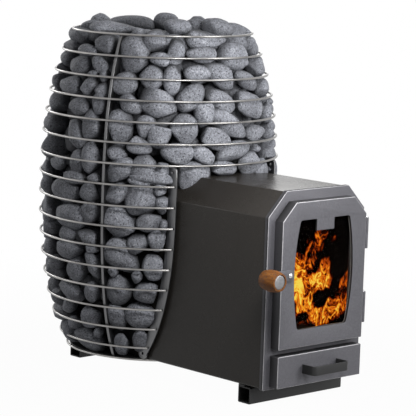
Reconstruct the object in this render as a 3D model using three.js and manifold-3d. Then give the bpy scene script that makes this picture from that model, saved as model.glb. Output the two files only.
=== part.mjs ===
// Wood-burning sauna stove: a steel firebox runs through a barrel-shaped wire basket that is
// filled with stones. Its front has a glazed door on lift-off hinges, with a latch lever and a
// wooden knob, above an ash drawer. Sizes are in millimetres, with +Z up and the door towards -Y.
import * as THREE from "three";
import { mergeVertices } from "three/addons/utils/BufferGeometryUtils.js";
import Module from "manifold-3d";

const wasm = await Module();
wasm.setup();

// Clearances
const seatGap = 0.3; // between pieces that touch or are welded together
const looseGap = 0.7; // between the stones and the steel around them
const boreGap = 0.3; // radial, between a pin and its bore

// Stand
const footHeight = 36;
const footDepth = 36.5;
const footLength = 282;
const footWall = 3;
const frontFootSetback = 42; // from the front frame's face to the front foot
const rearFootCentre = 113; // behind the basket's axis
const footPadLength = 18;
const basePlateThickness = 4;

// Heights from here on are above the base plate.

// Basket: the wire rings follow a superellipse
const barrelRadius = 271;
const barrelHalfHeight = 480;
const barrelMiddle = 362;
const barrelPower = 2.4;
const wireDiameter = 6;
const ringPitch = 46.1;
const archClearance = 23.4; // from the firebox roof up to the lowest full ring
const fullRingCount = 7;
const lowestSplitRing = 24; // least height of a split ring
const ringSegments = 30;
const wireSides = 6;
const frontRibAngle = 69.3; // degrees from the front, to either side
const rearRibAngle = 143;
const ribDepth = 25;
const ribThickness = 6;
const archPlateThickness = 5;
const archPlateWidth = 26.5;
const archPlateGap = 3.2; // from the firebox wall to the plate beside it
const archHoleDiameter = 6;
const archHoleInset = 12;
const archCornerRadius = 10;

// Firebox
const fireboxWidth = 289.6;
const fireboxHeight = 417.7;
const fireboxChamfer = 51;
const fireboxWall = 5;
const fireboxRear = 115; // behind the basket's axis
const frontReach = 506.5; // from the basket's axis to the front frame's face
const frameOverhang = 2;
const framePlate = 5;
const frameLip = 5;
const hearthHeight = 78;
const hearthThickness = 5;
const grateLength = 264;
const grateWidth = 184;
const grateThickness = 14;
const grateBearing = 12;
const grateBar = 12;
const grateSlot = 9.5;
const grateSetback = 165; // from the frame's face to the grate
const baffleDrop = 14.7; // below the lower edge of the cut-off corners
const baffleThickness = 6;
const baffleLength = 270;
const ledge = 10;
const flueInside = 115;
const flueWall = 3;
const flueSetback = 25; // behind the basket's axis
const flueFlange = 14;
const flueFlangeThickness = 4;
const flueDrop = 8; // of its rim below the top ring

// Door
const doorMargin = 19; // from the frame's edge to the door's edge
const doorBottomRise = 9; // above the hearth plate's underside
const doorTopMargin = 19.4; // below the firebox roof
const doorChamfer = 38.6;
const doorProud = 24.7;
const doorSheet = 4;
const doorClearance = 1;
const mouthInset = 23; // from the door's outline to the firebox mouth behind it
const windowBottomMargin = 38.5;
const windowTopMargin = 39.3;
const windowHalfWidth = 75;
const windowBulge = 13.5;
const windowCorner = 7;
const tabWidth = 54;
const tabHeight = 25;
const glassMargin = 9.5;
const glassThickness = 4;
const gasketThickness = 2;
const ropeSeal = 9;
const clampDepth = 12;
const clampLip = 8;
const clampSheet = 3;
const clampLength = 120;

// Hinges
const hingeRadius = 7;
const hingePinRadius = 4;
const hingeStandoff = 13.5; // from the frame's face to the pin's axis
const hingeSideGap = 2.2; // from the door's edge to the knuckle
const knuckleLength = 33.5;
const lowerHingeRise = 31; // above the door's lower edge
const upperHingeDrop = 117.3; // below the door's upper edge
const hingeWeb = 6;
const hingePinCap = 3;

// Latch
const latchRise = 3.35; // above the door's middle
const latchPivotInset = 20.8; // from the door's edge to the pivot
const latchLength = 76; // from the pivot to the knob
const latchWidth = 23;
const latchThickness = 4;
const pivotRadius = 4;
const pivotHead = 6;
const pivotHeadRise = 5.2;
const pivotNutRadius = 7.2;
const pivotNutHeight = 6;
const keeperRadius = 3;
const keeperBase = 6;
const keeperBaseThickness = 3.5;
const keeperDrop = 6; // below the latch's centre line
const keeperSlack = 2.25; // beside the keeper in its notch
const keeperTip = 2; // in front of the latch
const knobRadius = 23;
const knobEndRadius = 19.3;
const knobBackRadius = 18;
const knobLength = 46.5;
const knobCapRadius = 15;
const knobCapThickness = 3.2;
const knobCapInset = 0.6;
const knobScrewRadius = 3;
const knobScrewHead = 6;
const knobScrewHeadRise = 4;
const knobScrewBite = 28;

// Ash drawer
const drawerBottom = 4;
const drawerTopDrop = 5.6; // below the hearth plate
const drawerProud = 24.3;
const drawerSheet = 3;
const ashPanHalfWidth = 100;
const ashPanTop = 60;
const ashPanLength = 376;
const ashPanWall = 2;
const ashPanPlay = 4; // between the pan and the slot in the frame
const handleHalfWidth = 54;
const handleReach = 36;
const handleBar = 4;
const handleHeight = 20;
const handleMiddle = 39;
const handleBend = 9;

// Stones
const stonePitch = 116; // along a course
const coursePitch = 104; // from course to course
const stoneDepth = 72; // towards the basket's axis
const stoneVariation = 0.12; // the most that a stone is smaller
const stoneFill = 1; // of the room that a stone has
const coreSetback = 11; // behind the ribs
const heapBedding = 18; // of the heap's stones below the top ring
const heapRise = 35.7; // of the heap's top above the top ring
const heapBed = 13; // of the heap's lower stones above the top ring
const coreDrop = 4; // of the core below the top ring
const crestTurn = 43.6; // of the crest's stones from straight across
const crestDepth = 0.9; // of a crest stone's length
const leastCrestDepth = 24;
const crestFill = 1.1;
// The crest: each stone's place from the middle of the top ring, half length and half height
const crestStones = [
  [-82, 119, 11, 23, 19],
  [-114, 122, 0, 28, 16],
  [-148, 3, 7, 48, 15],
  [23, 130, 6, 48, 19],
  [78, 78, 12, 30, 19],
  [-50, -104, 14, 31, 19],
  [40, -65, 11, 23, 19],
  [106, -4, 14, 20, 19],
  [50, -130, 13, 34, 21],
  [138, -102, 1, 29, 15],
];
const crownCourses = 1; // courses that belong to the crown

const finish = (color, roughness, metalness) =>
  new THREE.MeshStandardMaterial({ color, roughness, metalness });
const darkPaint = finish(0x2f2e2d, 0.6, 0.2);
const greyPaint = finish(0x77767b, 0.45, 0.4);
const blackSteel = finish(0x151515, 0.6, 0.4);
const castIron = finish(0x262626, 0.8, 0.5);
const stainless = finish(0xa9a7a8, 0.35, 0.9);
const polished = finish(0xd0d0d0, 0.15, 1);
const glassBlack = finish(0x0a0a0b, 0.05, 0);
const ropeGrey = finish(0x4a4a48, 0.95, 0);
const wood = finish(0xa9683a, 0.7, 0);
const stone = finish(0x5d6067, 0.85, 0);

// Solids

function solidOf(geometry) {
  const bare = geometry.clone();
  bare.deleteAttribute("normal");
  bare.deleteAttribute("uv");
  const merged = mergeVertices(bare, 1e-3);
  return new wasm.Manifold(
    new wasm.Mesh({
      numProp: 3,
      vertProperties: merged.attributes.position.array,
      triVerts: new Uint32Array(merged.index.array),
    }),
  );
}

function geometryOf(solid) {
  const mesh = solid.getMesh();
  const geometry = new THREE.BufferGeometry();
  geometry.setAttribute("position", new THREE.BufferAttribute(mesh.vertProperties, 3));
  geometry.setIndex(new THREE.BufferAttribute(mesh.triVerts, 1));
  geometry.computeVertexNormals();
  return geometry;
}

function cut(base, ...tools) {
  const made = tools.reduce((solid, tool) => solid.subtract(solidOf(tool)), solidOf(base));
  return geometryOf(made);
}

function join(...pieces) {
  return geometryOf(pieces.map(solidOf).reduce((solid, piece) => solid.add(piece)));
}

const axisX = new THREE.Vector3(1, 0, 0);
const axisY = new THREE.Vector3(0, 1, 0);
const axisZ = new THREE.Vector3(0, 0, 1);
const towardsFront = new THREE.Vector3(0, -1, 0);

function extruded(shape, depth, curveSegments = 6) {
  return new THREE.ExtrudeGeometry(shape, { depth, bevelEnabled: false, curveSegments });
}

// A shape drawn in x and z, filled from y = front to y = back.
function frontSlab(shape, front, back, curveSegments) {
  const basis = new THREE.Matrix4().makeBasis(axisX, axisZ, towardsFront);
  return extruded(shape, back - front, curveSegments).applyMatrix4(basis).translate(0, back, 0);
}

// A shape drawn in y and z, filled from x = left to x = right.
function sideSlab(shape, left, right, curveSegments) {
  const basis = new THREE.Matrix4().makeBasis(axisY, axisZ, axisX);
  return extruded(shape, right - left, curveSegments).applyMatrix4(basis).translate(left, 0, 0);
}

// A shape drawn in x and y, filled from z = bottom to z = top.
function flatSlab(shape, bottom, top, curveSegments) {
  return extruded(shape, top - bottom, curveSegments).translate(0, 0, bottom);
}

function boxBetween(low, high) {
  const size = high.map((value, axis) => value - low[axis]);
  const middle = high.map((value, axis) => (value + low[axis]) / 2);
  return new THREE.BoxGeometry(...size).translate(...middle);
}

function uprightCylinder(radius, bottom, top, sides = 16) {
  return new THREE.CylinderGeometry(radius, radius, top - bottom, sides)
    .rotateX(Math.PI / 2)
    .translate(0, 0, (bottom + top) / 2);
}

// A cylinder along y.
function crossCylinder(radius, front, back, sides = 12) {
  return new THREE.CylinderGeometry(radius, radius, back - front, sides).translate(0, (front + back) / 2, 0);
}

// A profile of [radius, height] points turned round the y axis.
function turned(profile, sides = 24) {
  return new THREE.LatheGeometry(
    profile.map(([radius, height]) => new THREE.Vector2(radius, height)),
    sides,
  );
}

// The same, turned round the z axis.
function turnedUpright(profile, sides) {
  return turned(profile, sides).rotateX(Math.PI / 2);
}

function polygon(points) {
  return new THREE.Shape(points.map(([x, y]) => new THREE.Vector2(x, y)));
}

// A round hole whose flats clear the radius
function circlePath(x, y, radius, sides = 8) {
  const reach = radius / Math.cos(Math.PI / sides);
  const points = Array.from({ length: sides }, (_, index) => {
    const angle = (-2 * Math.PI * index) / sides;
    return new THREE.Vector2(x + reach * Math.cos(angle), y + reach * Math.sin(angle));
  });
  return new THREE.Path(points);
}

const radians = THREE.MathUtils.degToRad;

// Sizes that follow from the driving ones
const wireRadius = wireDiameter / 2;
const bodyHeight = footHeight + basePlateThickness;
const fireboxRoof = seatGap + fireboxHeight;
const floorTop = seatGap + fireboxWall;
const fireboxHalf = fireboxWidth / 2;
const baffleHeight = fireboxHeight - fireboxChamfer - baffleDrop;
const doorBottom = hearthHeight + doorBottomRise;
const doorTop = fireboxHeight - doorTopMargin;
const windowBottom = doorBottom + windowBottomMargin;
const windowTop = doorTop - windowTopMargin;
const lowerHingeBottom = doorBottom + lowerHingeRise;
const upperHingeBottom = doorTop - upperHingeDrop;
const latchHeight = (doorBottom + doorTop) / 2 + latchRise;
const drawerTop = hearthHeight - drawerTopDrop;
const insideHalf = fireboxHalf - fireboxWall;
const face = -frontReach;
const frameBack = face + framePlate;
const lowestFullRing = fireboxRoof + frameOverhang + archClearance;
const topRing = lowestFullRing + (fullRingCount - 1) * ringPitch;
const splitRingCount = Math.floor((lowestFullRing - lowestSplitRing) / ringPitch);
const ribAngles = [-frontRibAngle, frontRibAngle, rearRibAngle, 360 - rearRibAngle];
const archPlateOutside = fireboxHalf + archPlateGap + archPlateThickness;
const ringHeights = Array.from({ length: fullRingCount + splitRingCount }, (_, i) => topRing - i * ringPitch);
const doorHalf = fireboxHalf + frameOverhang - doorMargin;
const windowMiddle = (windowBottom + windowTop) / 2;

// The basket's radius, to the middle of the wire, at a height.
function barrelAt(height) {
  const share = Math.abs(height - barrelMiddle) / barrelHalfHeight;
  return barrelRadius * (1 - share ** barrelPower) ** (1 / barrelPower);
}

// The room inside the rings: their flat facets lie nearer the axis than their corners.
function insideRings(height) {
  return (barrelAt(height) - wireRadius) * Math.cos(Math.PI / ringSegments);
}

const baseRingHeight = -basePlateThickness / 2;
const basePlateRadius = insideRings(baseRingHeight) - seatGap;

// Even steps from one value to another, both included.
function steps(from, to, count) {
  return Array.from({ length: count + 1 }, (_, i) => from + ((to - from) * i) / count);
}

// A front outline with cut-off upper corners.
function archOutline(half, bottom, top, chamfer) {
  return polygon([
    [-half, bottom],
    [half, bottom],
    [half, top - chamfer],
    [half - chamfer, top],
    [-half + chamfer, top],
    [-half, top - chamfer],
  ]);
}

// The same outline drawn in by an even width.
function archInset(half, bottom, top, chamfer, inset) {
  const shortening = inset * (2 - Math.SQRT2);
  return archOutline(half - inset, bottom + inset, top - inset, chamfer - shortening);
}

// Feet and base plate

function footTube(front) {
  const back = front + footDepth;
  const section = polygon([
    [front, 0],
    [back, 0],
    [back, footHeight],
    [front, footHeight],
  ]);
  const bore = polygon([
    [front + footWall, footWall],
    [front + footWall, footHeight - footWall],
    [back - footWall, footHeight - footWall],
    [back - footWall, footWall],
  ]);
  section.holes.push(bore);
  return sideSlab(section, -footLength / 2, footLength / 2);
}

function frontFoot() {
  const front = face + frontFootSetback;
  const back = front + footDepth;
  const pads = [-1, 1].map((side) => {
    const outer = (side * footLength) / 2;
    const inner = side * (footLength / 2 - footPadLength);
    return boxBetween(
      [Math.min(outer, inner), back - footPadLength, footHeight - footWall],
      [Math.max(outer, inner), back, bodyHeight],
    );
  });
  return join(footTube(front), ...pads);
}

function basePlate() {
  return uprightCylinder(basePlateRadius, footHeight + seatGap, bodyHeight, ringSegments);
}

// Basket

class RingArc extends THREE.Curve {
  constructor(radius, from, to) {
    super();
    Object.assign(this, { radius, from, to });
  }
  getPoint(t, target = new THREE.Vector3()) {
    const angle = this.from + (this.to - this.from) * t;
    return target.set(Math.sin(angle) * this.radius, -Math.cos(angle) * this.radius, 0);
  }
}

function fullRing(radius) {
  return new THREE.TorusGeometry(radius, wireRadius, wireSides, ringSegments).rotateZ(Math.PI / 2);
}

// A ring that stops at the two arch plates beside the firebox.
function splitRing(radius) {
  const gap = Math.asin((archPlateOutside + seatGap) / (radius - wireRadius));
  const arc = new RingArc(radius, gap, 2 * Math.PI - gap);
  const corners = Array.from({ length: wireSides }, (_, i) => (2 * Math.PI * i) / wireSides);
  const section = polygon(corners.map((angle) => [wireRadius * Math.cos(angle), wireRadius * Math.sin(angle)]));
  const turnShare = (2 * Math.PI - 2 * gap) / (2 * Math.PI);
  return new THREE.ExtrudeGeometry(section, {
    steps: 2 * Math.ceil((ringSegments * turnShare) / 2),
    extrudePath: arc,
    bevelEnabled: false,
  });
}

// A rib's outline in radius and height. Grow widens its inner edge and its ends.
function ribOutline(grow = 0) {
  const heights = [...ringHeights, seatGap].reverse();
  const outer = (height) => insideRings(height) - seatGap;
  const up = heights.map((height) => [outer(height) + grow * ribDepth, height]);
  const down = heights.map((height) => [outer(height) - ribDepth - grow, height]).reverse();
  return polygon([...up, ...down]);
}

function rib(grow = 0) {
  const half = ribThickness / 2 + grow;
  return frontSlab(ribOutline(grow), -half, half);
}

// The plate that trims the basket beside the firebox, drawn in y and z.
function archPlateOutline() {
  const top = lowestFullRing - wireRadius - seatGap;
  const endRadius = archPlateWidth / 2;
  const bottom = seatGap + endRadius;
  const outer = (height) => -Math.sqrt((barrelAt(height) + wireRadius) ** 2 - archPlateOutside ** 2);
  const edge = steps(top - archCornerRadius, bottom, 8);
  const shape = new THREE.Shape();
  shape.moveTo(outer(top) + archPlateWidth, top);
  shape.lineTo(outer(top) + archCornerRadius, top);
  shape.quadraticCurveTo(outer(top), top, outer(edge[0]), edge[0]);
  edge.slice(1).forEach((height) => shape.lineTo(outer(height), height));
  shape.absarc(outer(bottom) + endRadius, bottom, endRadius, Math.PI, 2 * Math.PI, false);
  edge.toReversed().forEach((height) => shape.lineTo(outer(height) + archPlateWidth, height));
  const upperHole = top - archHoleInset;
  const holes = [
    [outer(upperHole) + archHoleInset, upperHole],
    [outer(bottom) + endRadius, bottom],
  ];
  holes.forEach(([y, z]) => shape.holes.push(circlePath(y, z, archHoleDiameter / 2)));
  return shape;
}

function archPlate(side) {
  const inner = archPlateOutside - archPlateThickness;
  const [left, right] = side < 0 ? [-archPlateOutside, -inner] : [inner, archPlateOutside];
  return sideSlab(archPlateOutline(), left, right, 4);
}

// Firebox

function fireboxOutline(grow = 0) {
  return archOutline(fireboxHalf + grow, seatGap - grow, fireboxRoof + grow, fireboxChamfer);
}

function fireboxShell() {
  const front = frameBack + seatGap;
  const outside = frontSlab(fireboxOutline(), front, fireboxRear);
  const inside = frontSlab(
    archInset(fireboxHalf, seatGap, fireboxRoof, fireboxChamfer, fireboxWall),
    front - fireboxWall,
    fireboxRear - fireboxWall,
  );
  const flueHole = uprightCylinder(flueInside / 2, fireboxRoof - 2 * fireboxWall, fireboxRoof + fireboxWall, 24)
    .translate(0, flueSetback, 0);
  const ledges = [-1, 1].map((side) => {
    const wall = side * (insideHalf + fireboxWall / 2);
    const edge = side * (insideHalf - ledge);
    return boxBetween(
      [Math.min(wall, edge), baffleFront(), baffleHeight - seatGap - ledge],
      [Math.max(wall, edge), fireboxRear - fireboxWall / 2, baffleHeight - seatGap],
    );
  });
  return join(cut(outside, inside, flueHole), ...ledges);
}

function baffleFront() {
  return fireboxRear - fireboxWall - baffleLength;
}

function bafflePlate() {
  const half = insideHalf - seatGap;
  return boxBetween(
    [-half, baffleFront(), baffleHeight],
    [half, fireboxRear - fireboxWall - seatGap, baffleHeight + baffleThickness],
  );
}

function frontFrame() {
  const half = fireboxHalf + frameOverhang;
  const bottom = seatGap - frameOverhang;
  const top = fireboxRoof + frameOverhang;
  const chamfer = fireboxChamfer + frameOverhang * (2 - Math.SQRT2);
  const plate = archOutline(half, bottom, top, chamfer);
  const pan = frontSlab(plate, face, frameBack + frameLip);
  const recess = frontSlab(fireboxOutline(seatGap), frameBack, frameBack + 2 * frameLip);
  const mouth = frontSlab(
    archInset(doorHalf, doorBottom, doorTop, doorChamfer, mouthInset),
    face - framePlate,
    frameBack + frameLip,
  );
  const slotHalf = ashPanHalfWidth + ashPanPlay;
  const slot = boxBetween(
    [-slotHalf, face - framePlate, floorTop],
    [slotHalf, frameBack + frameLip, ashPanTop + ashPanPlay],
  );
  return cut(pan, recess, mouth, slot);
}

function hearthPlate() {
  const half = insideHalf - seatGap;
  const plate = boxBetween(
    [-half, frameBack + 2 * seatGap, hearthHeight],
    [half, fireboxRear - fireboxWall - seatGap, hearthHeight + hearthThickness],
  );
  const grateFront = face + grateSetback;
  const opening = boxBetween(
    [-grateWidth / 2 + grateBearing, grateFront + grateBearing, hearthHeight - hearthThickness],
    [grateWidth / 2 - grateBearing, grateFront + grateLength - grateBearing, hearthHeight + 2 * hearthThickness],
  );
  return cut(plate, opening);
}

function grate() {
  const bottom = hearthHeight + hearthThickness + seatGap;
  const top = bottom + grateThickness;
  const front = face + grateSetback;
  const back = front + grateLength;
  const pitch = grateBar + grateSlot;
  const count = Math.floor((grateWidth - 2 * grateBearing) / pitch);
  const slots = Array.from({ length: count }, (_, i) => {
    const middle = (i - (count - 1) / 2) * pitch;
    return boxBetween(
      [middle - grateSlot / 2, front + 2 * grateBearing, bottom - grateThickness],
      [middle + grateSlot / 2, back - 2 * grateBearing, top + grateThickness],
    );
  });
  return cut(boxBetween([-grateWidth / 2, front, bottom], [grateWidth / 2, back, top]), ...slots);
}

function flueCollar() {
  const inner = flueInside / 2;
  const outer = inner + flueWall;
  const bottom = fireboxRoof + seatGap;
  const top = topRing - flueDrop;
  return turnedUpright(
    [
      [inner, -bottom],
      [inner, -top],
      [outer, -top],
      [outer, -bottom - flueFlangeThickness],
      [outer + flueFlange, -bottom - flueFlangeThickness],
      [outer + flueFlange, -bottom],
      [inner, -bottom],
    ].map(([radius, height]) => [radius, -height]).reverse(),
    24,
  );
}

// Door, drawn with y = 0 on the frame's face

function windowPath(grow = 0, tab = tabHeight) {
  const half = windowHalfWidth + grow;
  const bottom = windowBottom - grow;
  const top = windowTop + grow;
  const lean = windowCorner * 0.2;
  const side = half + 2 * windowBulge;
  const path = new THREE.Shape();
  path.moveTo(-half + windowCorner, bottom);
  path.lineTo(half - windowCorner, bottom);
  path.quadraticCurveTo(half, bottom, half + lean, bottom + windowCorner);
  path.quadraticCurveTo(side, windowMiddle, half + lean, top - windowCorner);
  path.quadraticCurveTo(half, top, half - windowCorner, top);
  if (tab > 0) {
    path.lineTo(tabWidth / 2, top);
    path.lineTo(tabWidth / 2, top - tab);
    path.lineTo(-tabWidth / 2, top - tab);
    path.lineTo(-tabWidth / 2, top);
  }
  path.lineTo(-half + windowCorner, top);
  path.quadraticCurveTo(-half, top, -half - lean, top - windowCorner);
  path.quadraticCurveTo(-side, windowMiddle, -half - lean, bottom + windowCorner);
  path.quadraticCurveTo(-half, bottom, -half + windowCorner, bottom);
  return path;
}

const glassHalf = windowHalfWidth + windowBulge + glassMargin;
const glassBottom = windowBottom - glassMargin;
const glassTop = windowTop + glassMargin;
const panelBack = -doorProud + doorSheet;
const glassFront = panelBack + gasketThickness + 2 * seatGap;
const glassBack = glassFront + glassThickness;
const pivotX = -doorHalf + latchPivotInset;

function doorPanel() {
  const outline = archOutline(doorHalf, doorBottom, doorTop, doorChamfer);
  const pan = frontSlab(outline, -doorProud, -doorClearance);
  const hollow = frontSlab(
    archInset(doorHalf, doorBottom, doorTop, doorChamfer, doorSheet),
    panelBack,
    doorClearance,
  );
  const window = frontSlab(windowPath(), -doorProud - doorSheet, panelBack + doorSheet, 5);
  const pivotHole = crossCylinder(pivotRadius + boreGap, -doorProud - doorSheet, panelBack + doorSheet)
    .translate(pivotX, 0, latchHeight);
  return cut(pan, hollow, window, pivotHole);
}

function glassPane(front, back) {
  const pane = polygon([
    [-glassHalf, glassBottom],
    [glassHalf, glassBottom],
    [glassHalf, glassTop],
    [-glassHalf, glassTop],
  ]);
  return frontSlab(pane, front, back);
}

function glassGasket() {
  const front = panelBack + seatGap;
  const back = front + gasketThickness;
  const hole = frontSlab(windowPath(seatGap, 0), front - gasketThickness, back + gasketThickness, 5);
  return cut(glassPane(front, back), hole);
}

function ropeGasket() {
  const outer = archInset(doorHalf, doorBottom, doorTop, doorChamfer, doorSheet + seatGap);
  const inner = archInset(doorHalf, doorBottom, doorTop, doorChamfer, doorSheet + seatGap + ropeSeal);
  const back = -doorClearance + seatGap;
  const front = back - ropeSeal;
  return cut(frontSlab(outer, front, back), frontSlab(inner, front - ropeSeal, back + ropeSeal));
}

// A strip that holds one end of the pane against the door's sheet. Way is 1 above the pane, -1 below.
function glassClamp(way) {
  const edge = way > 0 ? glassTop : glassBottom;
  const at = (offset) => edge + way * offset;
  const lipFront = glassBack + seatGap;
  const outline = polygon([
    [panelBack + seatGap, at(seatGap)],
    [panelBack + seatGap, at(clampDepth)],
    [lipFront + clampSheet, at(clampDepth)],
    [lipFront + clampSheet, at(-clampLip)],
    [lipFront, at(-clampLip)],
    [lipFront, at(seatGap)],
  ]);
  return sideSlab(outline, -clampLength / 2, clampLength / 2);
}

// Hinges, drawn round the pin's axis

function knuckle(bottom, web) {
  const top = bottom + knuckleLength;
  const bore = uprightCylinder(hingePinRadius + boreGap, bottom - hingeWeb, top + hingeWeb, 12);
  return cut(join(uprightCylinder(hingeRadius, bottom, top), web), bore);
}

function frameKnuckle(bottom) {
  const web = boxBetween(
    [-hingeWeb / 2, hingeRadius / 2, bottom],
    [hingeWeb / 2, hingeStandoff - seatGap, bottom + knuckleLength],
  );
  return knuckle(bottom, web);
}

function doorKnuckle(bottom) {
  const web = boxBetween(
    [-hingeRadius - hingeSideGap + seatGap, -hingeWeb / 2, bottom],
    [-hingeRadius / 2, hingeWeb / 2, bottom + knuckleLength],
  );
  return knuckle(bottom, web);
}

function hingePin(bottom) {
  const top = bottom + 2 * knuckleLength + 2 * seatGap;
  const shank = uprightCylinder(hingePinRadius, bottom, top + hingePinCap / 2, 12);
  return join(shank, uprightCylinder(hingeRadius - 1, top, top + hingePinCap, 12));
}

// Latch, drawn round its pivot with y = 0 on the door's front

const latchBack = -seatGap;
const latchFront = latchBack - latchThickness;
const keeperX = (-doorHalf - (fireboxHalf + frameOverhang)) / 2 - pivotX;

function latchLever() {
  const half = latchWidth / 2;
  const notch = keeperRadius + keeperSlack;
  const notchMiddle = -keeperDrop + keeperRadius + seatGap - notch;
  const shape = new THREE.Shape();
  shape.moveTo(0, -half);
  shape.absarc(0, 0, half, -Math.PI / 2, Math.PI / 2, false);
  shape.absarc(-latchLength, 0, half, Math.PI / 2, (3 * Math.PI) / 2, false);
  shape.lineTo(keeperX - notch, -half);
  shape.absarc(keeperX, notchMiddle, notch, Math.PI, 0, true);
  shape.lineTo(keeperX + notch, -half);
  shape.holes.push(circlePath(0, 0, pivotRadius + boreGap));
  shape.holes.push(circlePath(-latchLength, 0, knobScrewRadius + boreGap));
  return frontSlab(shape, latchFront, latchBack, 4);
}

function latchKeeper() {
  const base = -seatGap;
  const tip = -doorProud + latchFront - keeperTip;
  return turned(
    [
      [0, tip],
      [keeperRadius, tip],
      [keeperRadius, base - keeperBaseThickness],
      [keeperBase, base - keeperBaseThickness],
      [keeperBase, base],
      [0, base],
    ],
    12,
  );
}

function pivotBolt() {
  const seat = latchFront - seatGap;
  const dome = steps(0, Math.PI / 2, 4).map((angle) => [
    pivotHead * Math.sin(angle),
    seat - pivotHeadRise * Math.cos(angle),
  ]);
  const tail = doorSheet + 2 * seatGap + pivotNutHeight;
  return turned([...dome, [pivotRadius, seat], [pivotRadius, tail], [0, tail]], 12);
}

function pivotNut() {
  const front = doorSheet + seatGap;
  const back = front + pivotNutHeight;
  const bore = crossCylinder(pivotRadius + boreGap, front - pivotNutHeight, back + pivotNutHeight);
  return cut(crossCylinder(pivotNutRadius, front, back, 6), bore);
}

// The knob's parts are drawn round the knob's own axis.

const knobBack = latchFront - seatGap;
const knobFront = knobBack - knobLength;

function knob() {
  const recess = knobCapInset + knobCapThickness + seatGap;
  const barrel = (share) => {
    const end = knobEndRadius + (knobBackRadius - knobEndRadius) * share;
    return end + (knobRadius - end) * Math.sin(Math.PI * share) ** 0.9;
  };
  const side = steps(0, 1, 6).map((share) => [barrel(share), knobFront + knobLength * share]);
  const bore = knobScrewRadius + boreGap;
  return turned(
    [
      [0, knobFront + recess],
      [knobCapRadius + seatGap, knobFront + recess],
      [knobCapRadius + seatGap, knobFront],
      ...side,
      [bore, knobBack],
      [bore, knobBack - knobScrewBite],
      [0, knobBack - knobScrewBite],
    ],
    16,
  );
}

function knobCap() {
  const front = knobFront + knobCapInset;
  return crossCylinder(knobCapRadius, front, front + knobCapThickness, 24);
}

function knobScrew() {
  const head = latchBack + seatGap;
  return turned(
    [
      [0, knobBack - knobScrewBite + seatGap],
      [knobScrewRadius, knobBack - knobScrewBite + seatGap],
      [knobScrewRadius, head],
      [knobScrewHead, head],
      [knobScrewHead, head + knobScrewHeadRise],
      [0, head + knobScrewHeadRise],
    ],
    12,
  );
}

// Ash drawer, drawn with y = 0 on the frame's face. Its front is folded at the top and the sides.

function drawerFront() {
  const pan = boxBetween([-doorHalf, -drawerProud, drawerBottom], [doorHalf, -doorClearance, drawerTop]);
  const hollow = boxBetween(
    [-doorHalf + drawerSheet, -drawerProud + drawerSheet, drawerBottom - drawerSheet],
    [doorHalf - drawerSheet, doorClearance, drawerTop - drawerSheet],
  );
  return cut(pan, hollow);
}

function ashPan() {
  const front = -drawerProud + drawerSheet + seatGap;
  const bottom = floorTop + seatGap;
  const outside = boxBetween(
    [-ashPanHalfWidth, front, bottom],
    [ashPanHalfWidth, front + ashPanLength, ashPanTop],
  );
  const inside = boxBetween(
    [-ashPanHalfWidth + ashPanWall, front + ashPanWall, bottom + ashPanWall],
    [ashPanHalfWidth - ashPanWall, front + ashPanLength - ashPanWall, ashPanTop + ashPanWall],
  );
  return cut(outside, inside);
}

// A flat bar bent into a bow, open towards the drawer.
function bow(half, reach, bend) {
  const shape = new THREE.Shape();
  shape.moveTo(half, 0);
  shape.lineTo(-half, 0);
  shape.lineTo(-half, -reach + bend);
  shape.quadraticCurveTo(-half, -reach, -half + bend, -reach);
  shape.lineTo(half - bend, -reach);
  shape.quadraticCurveTo(half, -reach, half, -reach + bend);
  return shape;
}

function drawerHandle() {
  const outer = bow(handleHalfWidth, handleReach, handleBend);
  const inner = bow(handleHalfWidth - handleBar, handleReach - handleBar, handleBend - handleBar / 2);
  const bottom = handleMiddle - handleHeight / 2;
  const top = handleMiddle + handleHeight / 2;
  const bar = flatSlab(outer, bottom, top, 4);
  const gap = flatSlab(inner, bottom - handleBar, top + handleBar, 4).translate(0, handleBar / 100, 0);
  return cut(bar, gap);
}

// Stones: rounded pebbles on a core that fills the basket round the firebox

// A repeatable spread of values from -1 to 1.
function spread(seed) {
  const value = Math.sin(seed * 12.9898 + 4.137) * 43758.5453;
  return 2 * (value - Math.floor(value)) - 1;
}

const stoneLimit = (height) => insideRings(height) - looseGap;

// A rough stone round the origin.
function roughStone(seed, size) {
  return new THREE.IcosahedronGeometry(1, 0)
    .rotateX(3 * spread(seed + 3))
    .rotateZ(3 * spread(seed + 4))
    .scale(...size);
}

// A stone with its middle at a radius and a height, on the front side before it is turned by its angle.
function pebble(seed, halves, angle, radius, height, tilt) {
  const size = halves.map((half, axis) => half * (1 - stoneVariation * (0.5 + 0.5 * spread(seed + axis))));
  return roughStone(seed, size)
    .rotateY(0.3 * spread(seed + 5))
    .rotateX(tilt)
    .translate(0, -radius, height)
    .rotateZ(angle);
}

// One course of stones, laid between each rib and the next.
function course(number, bottom, top) {
  const height = (bottom + top) / 2;
  const radius = stoneLimit(height) - stoneDepth / 2;
  const lean = Math.atan2(barrelAt(top) - barrelAt(bottom), top - bottom);
  const margin = (ribThickness / 2 + looseGap) / radius;
  return ribAngles.flatMap((angle, bay) => {
    const from = radians(angle) + margin;
    const to = radians(ribAngles[bay + 1] ?? ribAngles[0] + 360) - margin;
    const count = Math.round(((to - from) * radius) / stonePitch);
    const share = (to - from) / count;
    return Array.from({ length: count }, (_, i) => {
      const halves = [(stoneFill * share * radius) / 2, stoneDepth / 2, (stoneFill * (top - bottom)) / 2];
      const seed = number * 61 + bay * 17 + i * 7;
      return pebble(seed, halves, from + (i + 0.5) * share, radius, height, -lean);
    });
  });
}

// Heights of the joints between courses, from one height to another.
function courseJoints(bottom, top) {
  return steps(bottom, top, Math.round((top - bottom) / coursePitch));
}

function courses(joints, first) {
  return joints.slice(1).flatMap((top, i) => course(first + i, joints[i], top));
}

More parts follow.
